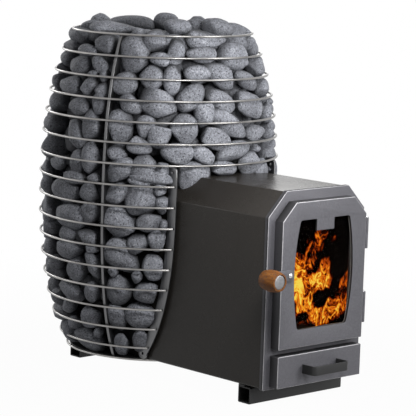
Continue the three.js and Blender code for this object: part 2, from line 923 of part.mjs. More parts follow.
// The heap that stands above the top ring: a round of stones about the flue, and a crest on it.
function heapStones() {
  const radius = stoneLimit(topRing) - stonePitch / 2;
  const count = Math.round((2 * Math.PI * radius) / stonePitch);
  const halves = [(Math.PI * radius) / count, stonePitch / 2, heapBed + heapBedding];
  const bed = Array.from({ length: count }, (_, i) =>
    pebble(900 + i * 11, halves, (2 * Math.PI * i) / count, radius, topRing - heapBedding, 0),
  );
  const crest = crestStones.map(([across, back, rise, length, height], i) => {
    const depth = Math.max(crestDepth * length, leastCrestDepth);
    const size = [length, depth, height].map((half) => crestFill * half);
    return roughStone(1300 + i * 13, size).rotateZ(-radians(crestTurn)).translate(across, back, topRing + rise);
  });
  return [...bed, ...crest];
}

function stoneCore() {
  const heights = steps(seatGap, topRing - coreDrop, 5);
  const wall = heights.map((height) => [stoneLimit(height) - ribDepth - coreSetback, height]);
  return turnedUpright([[0, wall[0][1]], ...wall, [0, wall.at(-1)[1]]], 14);
}

// The space that the stones may fill: inside the rings, above the base plate and under the heap's top.
function stoneSpace() {
  const heights = steps(seatGap, topRing, 14);
  const wall = heights.map((height) => [stoneLimit(height), height]);
  const top = topRing + heapRise;
  return turnedUpright([[0, wall[0][1]], ...wall, [stoneLimit(topRing), top], [0, top]], ringSegments);
}

const lowerJoints = courseJoints(seatGap, fireboxRoof);
const upperJoints = courseJoints(fireboxRoof, topRing);

function stoneMass() {
  const laid = [...courses(lowerJoints, 0), ...courses(upperJoints, lowerJoints.length), ...heapStones()];
  const pebbles = laid.map(solidOf);
  const filled = wasm.Manifold.union([solidOf(stoneCore()), ...pebbles]);
  const flueOutside = flueInside / 2 + flueWall + looseGap;
  const flange = flueOutside + flueFlange;
  const top = topRing + heapRise;
  const archTop = lowestFullRing - wireRadius - seatGap + looseGap;
  const archHalf = archPlateOutside + looseGap;
  const archBack = -archPlateOutside / 2;
  const steel = [
    frontSlab(fireboxOutline(looseGap), face, fireboxRear + looseGap),
    uprightCylinder(flueOutside, fireboxRoof, top + coursePitch, 24).translate(0, flueSetback, 0),
    uprightCylinder(flange, fireboxRoof, fireboxRoof + flueFlangeThickness + 2 * looseGap, 24)
      .translate(0, flueSetback, 0),
    boxBetween([-archHalf, face, -seatGap], [archHalf, archBack, fireboxRoof - fireboxChamfer]),
    ...[-1, 1].map((side) => {
      const inner = side * (archPlateOutside - archPlateThickness - looseGap);
      const outer = side * archHalf;
      return boxBetween([Math.min(inner, outer), face, -seatGap], [Math.max(inner, outer), archBack, archTop]);
    }),
    ...ribAngles.map((angle) => rib(looseGap).rotateZ(radians(angle - 90))),
  ];
  return steel.reduce((solid, tool) => solid.subtract(solidOf(tool)), filled.intersect(solidOf(stoneSpace())));
}

// The part of the stones inside a box, without any chips that the box cuts loose.
function stoneBed(mass, low, high) {
  const bodies = mass.intersect(solidOf(boxBetween(low, high))).decompose();
  const largest = bodies.reduce((best, body) => (body.volume() > best.volume() ? body : best));
  return geometryOf(largest);
}

function stoneBeds() {
  const mass = stoneMass();
  const far = 2 * barrelRadius;
  const rear = fireboxRear + looseGap;
  const roof = fireboxRoof + looseGap;
  const split = upperJoints.at(-1 - crownCourses);
  const top = topRing + 2 * heapRise;
  return {
    stones_left: stoneBed(mass, [-far, -far, 0], [0, rear - seatGap, roof - seatGap]),
    stones_right: stoneBed(mass, [0, -far, 0], [far, rear - seatGap, roof - seatGap]),
    stones_rear: stoneBed(mass, [-far, rear, 0], [far, far, roof - seatGap]),
    stones_over_firebox: stoneBed(mass, [-far, -far, roof], [far, far, split - seatGap]),
    stones_crown: stoneBed(mass, [-far, -far, split], [far, far, top]),
  };
}

// Assembly

function add(group, name, geometry, material) {
  const mesh = new THREE.Mesh(geometry, material);
  mesh.name = name;
  group.add(mesh);
  return mesh;
}

function stand() {
  const group = new THREE.Group();
  add(group, "front_foot", frontFoot(), blackSteel);
  add(group, "rear_foot", footTube(rearFootCentre - footDepth / 2), blackSteel);
  add(group, "base_plate", basePlate(), blackSteel);
  return group;
}

function basket() {
  const group = new THREE.Group();
  ringHeights.forEach((height, i) => {
    const shape = i < fullRingCount ? fullRing : splitRing;
    const ring = add(group, `ring_${String(i + 1).padStart(2, "0")}`, shape(barrelAt(height)), stainless);
    ring.position.z = height;
  });
  const baseRing = add(group, "base_ring", splitRing(barrelAt(baseRingHeight)), stainless);
  baseRing.position.z = baseRingHeight;
  ["rib_front_left", "rib_front_right", "rib_rear_right", "rib_rear_left"].forEach((name, i) => {
    const post = add(group, name, rib(), stainless);
    post.rotation.z = radians(ribAngles[i] - 90);
  });
  add(group, "arch_plate_left", archPlate(-1), stainless);
  add(group, "arch_plate_right", archPlate(1), stainless);
  return group;
}

function firebox() {
  const group = new THREE.Group();
  add(group, "firebox_shell", fireboxShell(), darkPaint);
  add(group, "front_frame", frontFrame(), greyPaint);
  add(group, "hearth_plate", hearthPlate(), blackSteel);
  add(group, "grate", grate(), castIron);
  add(group, "baffle_plate", bafflePlate(), blackSteel);
  const collar = add(group, "flue_collar", flueCollar(), darkPaint);
  collar.position.y = flueSetback;
  const keeper = add(group, "latch_keeper", latchKeeper(), polished);
  keeper.position.set(pivotX + keeperX, face, latchHeight - keeperDrop);
  return group;
}

function hinges() {
  const group = new THREE.Group();
  group.position.set(doorHalf + hingeSideGap + hingeRadius, face - hingeStandoff, 0);
  const places = { lower: lowerHingeBottom, upper: upperHingeBottom };
  Object.entries(places).forEach(([place, bottom]) => {
    add(group, `hinge_frame_knuckle_${place}`, frameKnuckle(bottom), greyPaint);
    add(group, `hinge_door_knuckle_${place}`, doorKnuckle(bottom + knuckleLength + seatGap), greyPaint);
    add(group, `hinge_pin_${place}`, hingePin(bottom), polished);
  });
  return group;
}

function latch() {
  const group = new THREE.Group();
  group.position.set(pivotX, -doorProud, latchHeight);
  add(group, "latch_lever", latchLever(), stainless);
  add(group, "latch_pivot_bolt", pivotBolt(), polished);
  add(group, "latch_pivot_nut", pivotNut(), polished);
  const handle = new THREE.Group();
  handle.position.x = -latchLength;
  add(handle, "knob", knob(), wood);
  add(handle, "knob_cap", knobCap(), polished);
  add(handle, "knob_screw", knobScrew(), polished);
  group.add(handle);
  return group;
}

function door() {
  const group = new THREE.Group();
  group.position.y = face;
  add(group, "door_panel", doorPanel(), greyPaint);
  add(group, "door_glass", glassPane(glassFront, glassBack), glassBlack);
  add(group, "glass_gasket", glassGasket(), ropeGrey);
  add(group, "door_gasket", ropeGasket(), ropeGrey);
  add(group, "glass_clamp_upper", glassClamp(1), blackSteel);
  add(group, "glass_clamp_lower", glassClamp(-1), blackSteel);
  group.add(latch());
  return group;
}

function ashDrawer() {
  const group = new THREE.Group();
  group.position.y = face;
  add(group, "ash_drawer_front", drawerFront(), greyPaint);
  add(group, "ash_pan", ashPan(), blackSteel);
  const handle = add(group, "drawer_handle", drawerHandle(), greyPaint);
  handle.position.y = -drawerProud - seatGap;
  return group;
}

function stones() {
  const group = new THREE.Group();
  Object.entries(stoneBeds()).forEach(([name, geometry]) => add(group, name, geometry, stone));
  return group;
}

// The origin lies on the floor, under the middle of the whole stove.
const frontEnd = frontReach + doorProud - knobFront;
const rearEnd = barrelRadius + wireRadius;
const body = new THREE.Group();
body.position.z = bodyHeight;
body.add(basket(), firebox(), hinges(), door(), ashDrawer(), stones());
const stove = new THREE.Group();
stove.position.y = (frontEnd - rearEnd) / 2;
stove.add(stand(), body);

const part = new THREE.Group();
part.add(stove);

export default part;
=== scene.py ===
import math

import bmesh
import bpy
import numpy as np
from mathutils import Matrix, Vector
from mathutils.geometry import tessellate_polygon


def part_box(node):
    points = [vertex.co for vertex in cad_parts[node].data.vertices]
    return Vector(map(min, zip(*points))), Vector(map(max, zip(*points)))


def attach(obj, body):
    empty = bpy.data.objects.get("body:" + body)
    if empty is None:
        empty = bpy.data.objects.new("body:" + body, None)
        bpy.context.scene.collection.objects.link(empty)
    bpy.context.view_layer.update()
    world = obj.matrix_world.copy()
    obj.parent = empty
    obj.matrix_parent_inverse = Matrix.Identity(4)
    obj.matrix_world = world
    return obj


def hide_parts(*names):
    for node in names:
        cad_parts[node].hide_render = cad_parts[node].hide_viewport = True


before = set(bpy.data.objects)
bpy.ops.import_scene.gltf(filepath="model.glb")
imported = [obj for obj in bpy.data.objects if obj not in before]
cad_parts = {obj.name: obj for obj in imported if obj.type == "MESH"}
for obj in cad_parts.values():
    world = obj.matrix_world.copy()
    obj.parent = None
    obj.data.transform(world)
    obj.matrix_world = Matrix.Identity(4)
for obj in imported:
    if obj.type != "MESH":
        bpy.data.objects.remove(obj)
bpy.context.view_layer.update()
scene = bpy.context.scene
scene.view_settings.view_transform = "Standard"
print("frame loaded,", len(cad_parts), "nodes")

# Sizes of pieces are in millimetres, which buildPiece turns into metres. The camera, the lamps and the
# finishes are in metres. x runs to the right of the stove, y to its back and z up, as in the frame.
toMetres = 0.001
toMillimetres = 1000

# Camera

photoCamera = {
    "place": (-3.2745, -3.45291, 1.06696),
    "yaw": 43.595,  # to the right of straight back
    "pitch": 8.308,  # down
    "roll": 1.9125,
    "lens": 185.28,
    "clipEnd": 60.0,
    "sensor": 36.0,
    "pixels": 416,  # the photograph's width and height
}


def cameraAxes(values):
    # Right, up and ahead in the picture
    yaw, pitch, roll = (math.radians(values[key]) for key in ("yaw", "pitch", "roll"))
    ahead = Vector((math.sin(yaw) * math.cos(pitch), math.cos(yaw) * math.cos(pitch), -math.sin(pitch)))
    right = Vector((math.cos(yaw), -math.sin(yaw), 0))
    up = right.cross(ahead)
    rolledRight = right * math.cos(roll) + up * math.sin(roll)
    rolledUp = up * math.cos(roll) - right * math.sin(roll)
    return rolledRight, rolledUp, ahead


def addCamera(values):
    right, up, ahead = cameraAxes(values)
    data = bpy.data.cameras.new("photoCamera")
    data.sensor_width = values["sensor"]
    data.lens = values["lens"]
    data.clip_end = values["clipEnd"]
    camera = bpy.data.objects.new("photoCamera", data)
    turn = Matrix((right, up, -ahead)).transposed().to_4x4()
    camera.matrix_world = Matrix.Translation(values["place"]) @ turn
    scene.collection.objects.link(camera)
    scene.camera = camera


addCamera(photoCamera)


# Shader maths: a socket with operators, so that 1 - mask adds a Math node

class Socket:
    def __init__(self, tree, link):
        self.tree, self.link = tree, link

    def maths(self, operation, first, second):
        return self.tree.add("ShaderNodeMath", {"operation": operation}, {0: first, 1: second})

    def __add__(self, other):
        return self.maths("ADD", self, other)

    def __radd__(self, other):
        return self.maths("ADD", other, self)

    def __sub__(self, other):
        return self.maths("SUBTRACT", self, other)

    def __rsub__(self, other):
        return self.maths("SUBTRACT", other, self)

    def __mul__(self, other):
        return self.maths("MULTIPLY", self, other)

    def __rmul__(self, other):
        return self.maths("MULTIPLY", other, self)

    def __truediv__(self, other):
        return self.maths("DIVIDE", self, other)

    def __rtruediv__(self, other):
        return self.maths("DIVIDE", other, self)

    def most(self, other):
        return self.maths("MAXIMUM", self, other)

    def size(self):
        return self.maths("ABSOLUTE", self, 0.0)

    def clamp(self):
        return self.tree.add("ShaderNodeClamp", {}, {0: self})


class Nodes:
    # A node tree: add makes a node from its type, its settings and its sockets

    def __init__(self, tree):
        self.nodes, self.links = tree.nodes, tree.links

    def add(self, kind, settings, sockets, out=0):
        node = self.nodes.new(kind)
        for key, value in settings.items():
            if key == "stops":
                elements = node.color_ramp.elements
                while len(elements) < len(value):
                    elements.new(0.5)
                for element, (at, colour) in zip(elements, value):
                    element.position = at
                    element.color = (*colour, 1)
            else:
                setattr(node, key, value)
        for key, value in sockets.items():
            self.feed(node.inputs[key], value)
        return Socket(self, node.outputs[out])

    def feed(self, target, value):
        if isinstance(value, Socket):
            self.links.new(value.link, target)
        elif isinstance(value, tuple) and len(value) == 3 and target.type == "RGBA":
            target.default_value = (*value, 1)
        else:
            target.default_value = value

    def span(self, value, low, high, toLow=0.0, toHigh=1.0):
        return self.add("ShaderNodeMapRange", {"clamp": True}, {
            "Value": value, "From Min": low, "From Max": high, "To Min": toLow, "To Max": toHigh,
        })

    def seen(self):
        # 1 for rays from the camera, a reflection or glass, and 0 for those that only light
        kinds = ("Is Camera Ray", "Is Glossy Ray", "Is Transmission Ray")
        camera, glossy, through = (self.add("ShaderNodeLightPath", {}, {}, kind) for kind in kinds)
        return (camera + glossy + through).clamp()


class Finish(Nodes):
    # One material, with its patterns in the piece's own place

    def __init__(self, name, **constants):
        self.material = bpy.data.materials.new(name)
        self.material.use_nodes = True
        super().__init__(self.material.node_tree)
        self.shader = self.nodes["Principled BSDF"]
        self.output = self.nodes["Material Output"]
        for socket, value in constants.items():
            self.shader.inputs[socket.replace("_", " ")].default_value = value
        self.place = self.add("ShaderNodeTexCoord", {}, {}, "Object")

    def set(self, socket, value):
        self.feed(self.shader.inputs[socket], value)

    def coat(self, colour, gloss, relief=None):
        # Gloss is a value with its span to roughness, and relief is a height with its distance and strength
        self.set("Base Color", colour)
        self.set("Roughness", self.span(*gloss))
        if relief:
            self.set("Normal", self.bump(*relief))
        return self

    def axis(self, way):
        return self.add("ShaderNodeSeparateXYZ", {}, {"Vector": self.place}, way)

    def tone(self):
        # The marks that buildPiece stores for each point
        return self.add("ShaderNodeAttribute", {"attribute_name": "tone"}, {}, "Fac")

    def stretched(self, scale, shift=(0, 0, 0)):
        return self.add("ShaderNodeMapping", {}, {"Vector": self.place, "Scale": scale, "Location": shift})

    def noise(self, scale, detail=3.0, roughness=0.55, vector=None, distortion=0.0):
        return self.add("ShaderNodeTexNoise", {}, {
            "Vector": vector or self.place, "Scale": scale, "Detail": detail,
            "Roughness": roughness, "Distortion": distortion,
        }, "Fac")

    def cells(self, scale, vector=None):
        sockets = {"Vector": vector or self.place, "Scale": scale}
        return self.add("ShaderNodeTexVoronoi", {}, sockets, "Distance")

    def blend(self, share, first, second):
        return self.add("ShaderNodeMix", {"data_type": "RGBA"}, {0: share, 6: first, 7: second}, 2)

    def ramp(self, value, stops):
        return self.add("ShaderNodeValToRGB", {"stops": stops}, {"Fac": value}, "Color")

    def bump(self, height, distance, strength=1.0, under=None):
        sockets = {"Height": height, "Distance": distance, "Strength": strength}
        if under:
            sockets["Normal"] = under
        return self.add("ShaderNodeBump", {}, sockets, "Normal")


print("camera and shader helpers ready")


# Mesh helpers

def unit(vectors):
    return vectors / np.linalg.norm(vectors, axis=-1, keepdims=True)


def fullTurn(count):
    return np.linspace(0, 2 * np.pi, count, endpoint=False)


def mirrored(points):
    # An outline's points on the other side of its upright middle, in turn
    return points[::-1] * np.array([-1, 1])


def gridPart(points, roundRows=False, roundCols=False, capStart=False, capEnd=False):
    # A grid of points as quads; a cap closes the first or last row round its middle
    rows, cols = points.shape[:2]
    index = np.arange(rows * cols).reshape(rows, cols)
    if roundRows:
        index = np.vstack([index, index[:1]])
    if roundCols:
        index = np.hstack([index, index[:, :1]])
    corners = [index[:-1, :-1], index[:-1, 1:], index[1:, 1:], index[1:, :-1]]
    faces = np.stack(corners, -1).reshape(-1, 4).tolist()
    verts = points.reshape(-1, 3)
    for wanted, row in ((capStart, 0), (capEnd, rows - 1)):
        if wanted:
            ring = np.arange(row * cols, (row + 1) * cols)
            verts = np.vstack([verts, points[row].mean(0)])
            faces += np.stack([ring, np.roll(ring, -1), np.full(cols, len(verts) - 1)], -1).tolist()
    return verts, faces


def fillPart(loops):
    # A flat face inside the first loop and outside the others
    triangles = tessellate_polygon([[Vector(point) for point in loop] for loop in loops])
    return np.vstack(loops), [list(triangle) for triangle in triangles]


def placed(parts, axes, origin=(0, 0, 0)):
    # Parts drawn in u, v and depth, set along three axes of the frame
    axes = np.array(axes, float)
    return [(verts @ axes + np.array(origin, float), faces) for verts, faces in parts]


frontAxes = ((1, 0, 0), (0, 0, 1), (0, 1, 0))  # drawn in x and z, depth to the back
sideAxes = ((0, 1, 0), (0, 0, 1), (1, 0, 0))  # drawn in y and z, depth to the right


def roundedLoop(corners, radius, perCorner=7):
    # A polygon, anticlockwise, whose corners are arcs of the radius: the arc's ends lie
    # radius * tan(turn / 2) before and after the corner
    points = np.array(corners, float)
    before = unit(points - np.roll(points, 1, 0))
    after = unit(np.roll(points, -1, 0) - points)
    turn = np.arctan2(before[:, 0] * after[:, 1] - before[:, 1] * after[:, 0], (before * after).sum(1))
    reach = np.abs(radius * np.tan(turn / 2))
    side = np.stack([-before[:, 1], before[:, 0]], -1) * np.sign(turn)[:, None]
    middle = points - before * reach[:, None] + side * radius
    share = np.linspace(0, 1, perCorner)
    angle = turn[:, None] * share
    spoke = -side[:, None, :] * radius
    cos, sin = np.cos(angle)[..., None], np.sin(angle)[..., None]
    turned = spoke * cos + np.stack([-spoke[..., 1], spoke[..., 0]], -1) * sin
    return (middle[:, None, :] + turned).reshape(-1, 2)


def rectangleLoop(low, high, radius, perCorner=7):
    (x0, y0), (x1, y1) = low, high
    return roundedLoop([(x0, y0), (x1, y0), (x1, y1), (x0, y1)], radius, perCorner)


def circleLoop(x, y, radius, count=24):
    angle = fullTurn(count)
    return np.stack([x + radius * np.cos(angle), y + radius * np.sin(angle)], -1)


def offsetLoop(loop, amount):
    # Each point moves along its corner's bisector, inwards on an anticlockwise loop
    ahead = unit(np.roll(loop, -1, 0) - loop)
    normal = np.stack([-ahead[:, 1], ahead[:, 0]], -1)
    earlier = np.roll(normal, 1, 0)
    return loop + amount * (normal + earlier) / (1 + (normal * earlier).sum(1))[:, None]


def atDepth(loop, depth):
    return np.column_stack([loop, np.full(len(loop), depth)])


def roundRise(edge, count=4):
    # A quarter round: how far in and how far along each of its points lies
    quarter = np.linspace(0, np.pi / 2, count)
    return edge * (1 - np.sin(quarter)), edge * (1 - np.cos(quarter))


def roundedSide(radius, low, high, edge):
    # The side of a turned piece, rounded at both ends, as points of [radius, height]
    inset, rise = roundRise(edge)
    return [*zip(radius - inset, low + rise), *zip(radius - inset[::-1], high - rise[::-1])]


def plateParts(outer, holes, low, high, edge):
    # A plate of one outline with holes, from one depth to another, its edges rounded
    inset, rise = roundRise(edge)
    insets = np.r_[inset, inset[::-1]]
    depths = np.r_[low + rise, high - rise[::-1]]
    parts, first, last = [], [], []
    for loop, way in [(outer, 1)] + [(hole, -1) for hole in holes]:
        rows = np.stack([atDepth(offsetLoop(loop, way * i), d) for i, d in zip(insets, depths)])
        parts.append(gridPart(rows, roundCols=True))
        first.append(rows[0])
        last.append(rows[-1])
    return parts + [fillPart(first), fillPart(last)]


holeEdge = 0.7
panSlack = 1.01  # points up to this many sheets above a pan's bottom belong to its lower flange


def panParts(outline, holes, front, back, sheet, edge, lowerSheet=None):
    # A folded pan: its flange runs back from a rounded front edge, and its wall is one sheet thick
    inset, rise = roundRise(edge, 6)
    insets = np.r_[0, inset[::-1]]
    depths = np.r_[back, front + rise[::-1]]
    outside = np.stack([atDepth(offsetLoop(outline, i), d) for i, d in zip(insets, depths)])
    inner = offsetLoop(outline, sheet)
    if lowerSheet is not None:
        bottom = outline[:, 1].min()
        isLow = inner[:, 1] < bottom + sheet * panSlack
        inner[:, 1] = np.where(isLow, bottom + lowerSheet, inner[:, 1])
    inside = np.stack([atDepth(inner, front + sheet), atDepth(inner, back), outside[0]])
    parts = [gridPart(outside, roundCols=True), gridPart(inside, roundCols=True)]
    first, last = [outside[-1]], [inside[0]]
    inset, rise = roundRise(holeEdge)
    for hole in holes:
        rows = [atDepth(offsetLoop(hole, -i), front + r) for i, r in zip(inset, rise)]
        rows = np.stack(rows + [atDepth(hole, front + sheet)])
        parts.append(gridPart(rows, roundCols=True))
        first.append(rows[0])
        last.append(rows[-1])
    return parts + [fillPart(first), fillPart(last)]


# Marks of a first part's rows: above 0 for a painted highlight along an edge, below 0 for painted shade on a
# side, down to black at -1
panEdge = (-0.7, -0.7, 0.7, 1, 1, 0.7, 0)  # from the flange, in painted shade, over the round, with its painted highlight, to the face
plateEdge = (0, 1, 1, -0.65, -0.65, -0.65, -0.65, -0.65)  # from the face over its edge, a painted highlight, to the side in painted shade
tubeEdge = (-1, -0.5, 0, 0, 0, 0, -0.5, -1)  # painted shade, black at both ends


def edgeMarks(parts, rows, others):
    # A mark for every point: the rows of the first part are given, and others marks whole parts
    around = len(parts[0][0]) // len(rows)
    marks = [np.repeat(rows, around)] + [np.zeros(len(verts)) for verts, _ in parts[1:]]
    for number, mark in others.items():
        marks[number][:] = mark
    return marks


def panMarks(parts):
    # A pan is painted black inside as shade, and in the walls of its holes behind their first row
    holes = range(2, len(parts) - 2)
    marks = edgeMarks(parts, panEdge, {number: -1 for number in (1, *holes, len(parts) - 1)})
    rows = len(roundRise(holeEdge)[0]) + 1
    for hole in holes:
        marks[hole][:len(marks[hole]) // rows] = 0
    return marks


def lathePart(profile, count=48, axis="z"):
    # Points of [radius, height] turned round an axis; the profile closes on itself or on the axis
    profile = np.array(profile, float)
    angle = fullTurn(count)
    radius, height = profile[:, 0][:, None], np.repeat(profile[:, 1][:, None], count, 1)
    one, two = radius * np.cos(angle), radius * np.sin(angle)
    points = np.stack([one, two, height] if axis == "z" else [one, height, two], -1)
    return gridPart(points, roundCols=True)


def carriedPart(section, path, across, upright, isRound=False):
    # A section of [across, upright] offsets carried along a path, round it or closed at its ends
    section = np.array(section, float)
    points = (path[:, None, :] + section[None, :, 0, None] * across[:, None, :]
              + section[None, :, 1, None] * upright[:, None, :])
    return gridPart(points, roundRows=isRound, roundCols=True, capStart=not isRound, capEnd=not isRound)


def boxParts(low, high, edge):
    return plateParts(rectangleLoop(low[:2], high[:2], edge, 4), [], low[2], high[2], edge)


def shifted(parts, offset):
    return [(verts + np.array(offset, float), faces) for verts, faces in parts]


meshing = {"merge": 2e-6, "crease": 34.0}


def buildPiece(name, parts, finish, body, stands=(), crease=meshing["crease"], marks=None):
    # Parts become one mesh at the origin that rides on a body of the frame
    starts = np.cumsum([0] + [len(verts) for verts, _ in parts])
    verts = np.vstack([verts for verts, _ in parts]) * toMetres
    faces = [[index + start for index in face] for (_, flats), start in zip(parts, starts) for face in flats]
    mesh = bpy.data.meshes.new(name)
    mesh.from_pydata(verts.tolist(), [], faces)
    if marks is not None:
        tone = mesh.attributes.new("tone", "FLOAT", "POINT")
        tone.data.foreach_set("value", np.concatenate(marks).astype(np.float32))
    work = bmesh.new()
    work.from_mesh(mesh)
    bmesh.ops.remove_doubles(work, verts=work.verts, dist=meshing["merge"])
    bmesh.ops.recalc_face_normals(work, faces=work.faces)
    work.to_mesh(mesh)
    work.free()
    mesh.polygons.foreach_set("use_smooth", np.ones(len(mesh.polygons), bool))
    mesh.set_sharp_from_angle(angle=math.radians(crease))
    mesh.materials.append(finish.material)
    piece = bpy.data.objects.new(name, mesh)
    scene.collection.objects.link(piece)
    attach(piece, body)
    if stands:
        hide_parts(*stands)
    return piece


def nodeBox(node):
    low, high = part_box(node)
    return np.array(low) * toMillimetres, np.array(high) * toMillimetres


def turnedParts(node, profile, count, axis="z"):
    # A profile turned round the upright axis, or the axis to the back, through a node's middle
    low, high = nodeBox(node)
    middle = (low + high) / 2
    middle["xyz".index(axis)] = 0
    return shifted([lathePart(profile, count, axis)], middle)


def dress(finish, *nodes):
    # A CAD node that keeps its shape gets a finish of its own
    for node in nodes:
        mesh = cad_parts[node].data
        mesh.materials.clear()
        mesh.materials.append(finish.material)


print("mesh helpers ready")


# Finishes of the metal work

def wireFinish():
    # Drawn stainless wire: clean, a little uneven in its gloss
    finish = Finish("stainless_wire", Metallic=1.0)
    drawn = finish.noise(18, 3)
    colour = finish.blend(finish.span(drawn, 0.35, 0.65), (0.2, 0.194, 0.188), (0.29, 0.282, 0.274))
    return finish.coat(colour, (drawn, 0.3, 0.7, 0.26, 0.36))


def plateFinish():
    # Stainless strip of the ribs and arch plates, ground along its length
    finish = Finish("ground_strip", Metallic=1.0)
    streaks = finish.noise(60, 4, vector=finish.stretched((9, 9, 0.5)))
    blotch = finish.noise(14, 3)
    colour = finish.blend(streaks, (0.095, 0.095, 0.097), (0.175, 0.175, 0.179))
    return finish.coat(colour, (streaks + blotch * 0.5, 0.4, 1.1, 0.28, 0.44), (streaks, 0.0003, 0.4))


def frontPaintFinish():
    # The front's lighter metallic grey: fine bright flakes in a blue-grey ground, with a painted highlight
    # along the edges and painted shade, down to black, where it is marked so
    finish = Finish("front_grey_paint", Specular_IOR_Level=0.35)
    flake = finish.noise(420, 4, 0.75)
    cloud = finish.noise(11, 3)
    ground = finish.blend(finish.span(flake, 0.3, 0.7), (0.057, 0.056, 0.0635), (0.119, 0.117, 0.131))
    paint = finish.blend(finish.span(cloud, 0.3, 0.75, 0.0, 0.25), ground, (0.064, 0.063, 0.071))
    edge = finish.tone()
    # Painted highlight along the marked rounded edges, broken up by noise
    wearAndHighlight = edge.clamp() * finish.span(finish.noise(70, 4, 0.6), 0.3, 0.6, 0.55, 1.0)
    highlighted = finish.blend(wearAndHighlight, paint, (0.42, 0.415, 0.43))
    # Marks below 0 paint shade, down to black, on sides, insides and hole walls
    colour = finish.blend(finish.span(edge, -1.0, 0.0, 1.0, 0.0), highlighted, (0.004, 0.004, 0.004))
    return finish.coat(colour, (cloud + flake * 0.3, 0.4, 0.9, 0.52, 0.62), (flake, 0.0004, 0.35))


def blackSteelFinish():
    # Black coated steel, rubbed greyer in patches, and painted shade, dead black, where it is marked so
    finish = Finish("black_steel", Specular_IOR_Level=0.3)
    grit = finish.noise(380, 4, 0.65)
    wear = finish.span(finish.noise(30, 5, 0.7), 0.6, 0.8)
    ground = finish.blend(grit, (0.008, 0.008, 0.0083), (0.017, 0.017, 0.0177))
    wearAndHighlight = finish.blend(wear * 0.3, ground, (0.07, 0.068, 0.066))
    # Marks below 0 paint shade, down to black, in the feet's bores and ends
    colour = finish.blend(finish.span(finish.tone(), -1.0, 0.0, 1.0, 0.0), wearAndHighlight, (0.001, 0.001, 0.001))
    return finish.coat(colour, (grit, 0.3, 0.7, 0.42, 0.58), (grit, 0.0004, 0.5))


def brightSteelFinish():
    finish = Finish("bright_steel", Metallic=1.0)
    haze = finish.noise(90, 3)
    colour = finish.blend(haze, (0.46, 0.46, 0.47), (0.6, 0.6, 0.61))
    return finish.coat(colour, (haze, 0.3, 0.7, 0.14, 0.26), (finish.noise(700, 2), 0.0001, 0.25))


def castIronFinish():
    finish = Finish("cast_iron", Specular_IOR_Level=0.35)
    sand = finish.noise(300, 5, 0.7)
    rust = finish.span(finish.noise(18, 5, 0.65), 0.55, 0.78)
    ground = finish.blend(sand, (0.022, 0.021, 0.021), (0.05, 0.048, 0.047))
    colour = finish.blend(rust * 0.5, ground, (0.09, 0.05, 0.032))
    return finish.coat(colour, (sand, 0.3, 0.7, 0.6, 0.8), (sand, 0.0008, 0.7))


def ropeFinish():
    # Braided glass rope: slanting rows of strands and loose fuzz
    finish = Finish("glass_rope", Roughness=0.9, Specular_IOR_Level=0.2)
    strands = finish.add("ShaderNodeTexWave", {"wave_type": "BANDS", "bands_direction": "DIAGONAL"}, {
        "Vector": finish.place, "Scale": 150.0, "Distortion": 1.2, "Detail": 2.0}, "Fac")
    fuzz = finish.noise(900, 3)
    shade = strands * 0.7 + fuzz * 0.3
    finish.set("Base Color", finish.blend(shade, (0.055, 0.052, 0.05), (0.24, 0.23, 0.215)))
    finish.set("Normal", finish.bump(strands + fuzz * 0.4, 0.001, 0.7))
    return finish


wire, strip = wireFinish(), plateFinish()
frontPaint, blackSteel = frontPaintFinish(), blackSteelFinish()
brightSteel, castIron, rope = brightSteelFinish(), castIronFinish(), ropeFinish()


# Basket

basket = {
    "axisY": 154.15,  # the basket's upright axis
    "radius": 271.0, "middle": 402.0, "halfHeight": 480.0, "power": 2.4,
    "rings": 16, "fullRings": 7, "ringSteps": 176,
    "wire": 2.5, "wireSides": 12,  # the wire's radius and how many sides it has
    "trim": 0.5,  # keeps the round rings inside the straight-sided ones of the frame
    "gap": 0.3,  # between pieces that are welded
    "plateOutside": 153.0, "plateThickness": 5.0, "plateWidth": 26.5, "plateCorner": 10.0,
    "plateEdge": 0.8, "plateSteps": 60, "holeInset": 12.0, "hole": 3.0,
    "ribAngles": {
        "rib_front_left": -69.3, "rib_front_right": 69.3, "rib_rear_right": 143.0, "rib_rear_left": 217.0,
    },
    "ribDepth": 25.0, "ribThickness": 6.0, "ribInset": 1.6, "ribEdge": 0.9, "ribSteps": 72,
    "base": 40.3, "top": 760.0, "lowestFullRing": 483.4,
    "discTrim": 0.4, "discEdge": 0.8, "discSteps": 96,
}


def barrelRadius(height):
    # A rounded barrel: widest radius times (1 - (|z - middle| / half height)^power)^(1 / power)
    share = np.abs(np.asarray(height, float) - basket["middle"]) / basket["halfHeight"]
    return basket["radius"] * (1 - share ** basket["power"]) ** (1 / basket["power"])


def onBasket(angle, radius, height):
    # Angle 0 faces the front, and grows to the right
    x, y = radius * np.sin(angle), basket["axisY"] - radius * np.cos(angle)
    return np.stack(np.broadcast_arrays(x, y, height), -1)


def ringParts(height, isSplit):
    # A circle of the wire's section carried round the barrel, stopped at the arch plates where it is split
    radius = barrelRadius(height) - basket["trim"]
    clear = basket["plateOutside"] + basket["gap"]
    start = np.arcsin(clear / (radius - basket["wire"])) if isSplit else 0
    angle = np.linspace(start, 2 * np.pi - start, basket["ringSteps"], endpoint=isSplit)
    path = onBasket(angle, radius, height)
    outwards = onBasket(angle, 1.0, 0.0) - np.array([0, basket["axisY"], 0])
    upright = np.broadcast_to(np.array([0.0, 0, 1]), outwards.shape)
    section = circleLoop(0, 0, basket["wire"], basket["wireSides"])
    return [carriedPart(section, path, outwards, upright, isRound=not isSplit)]


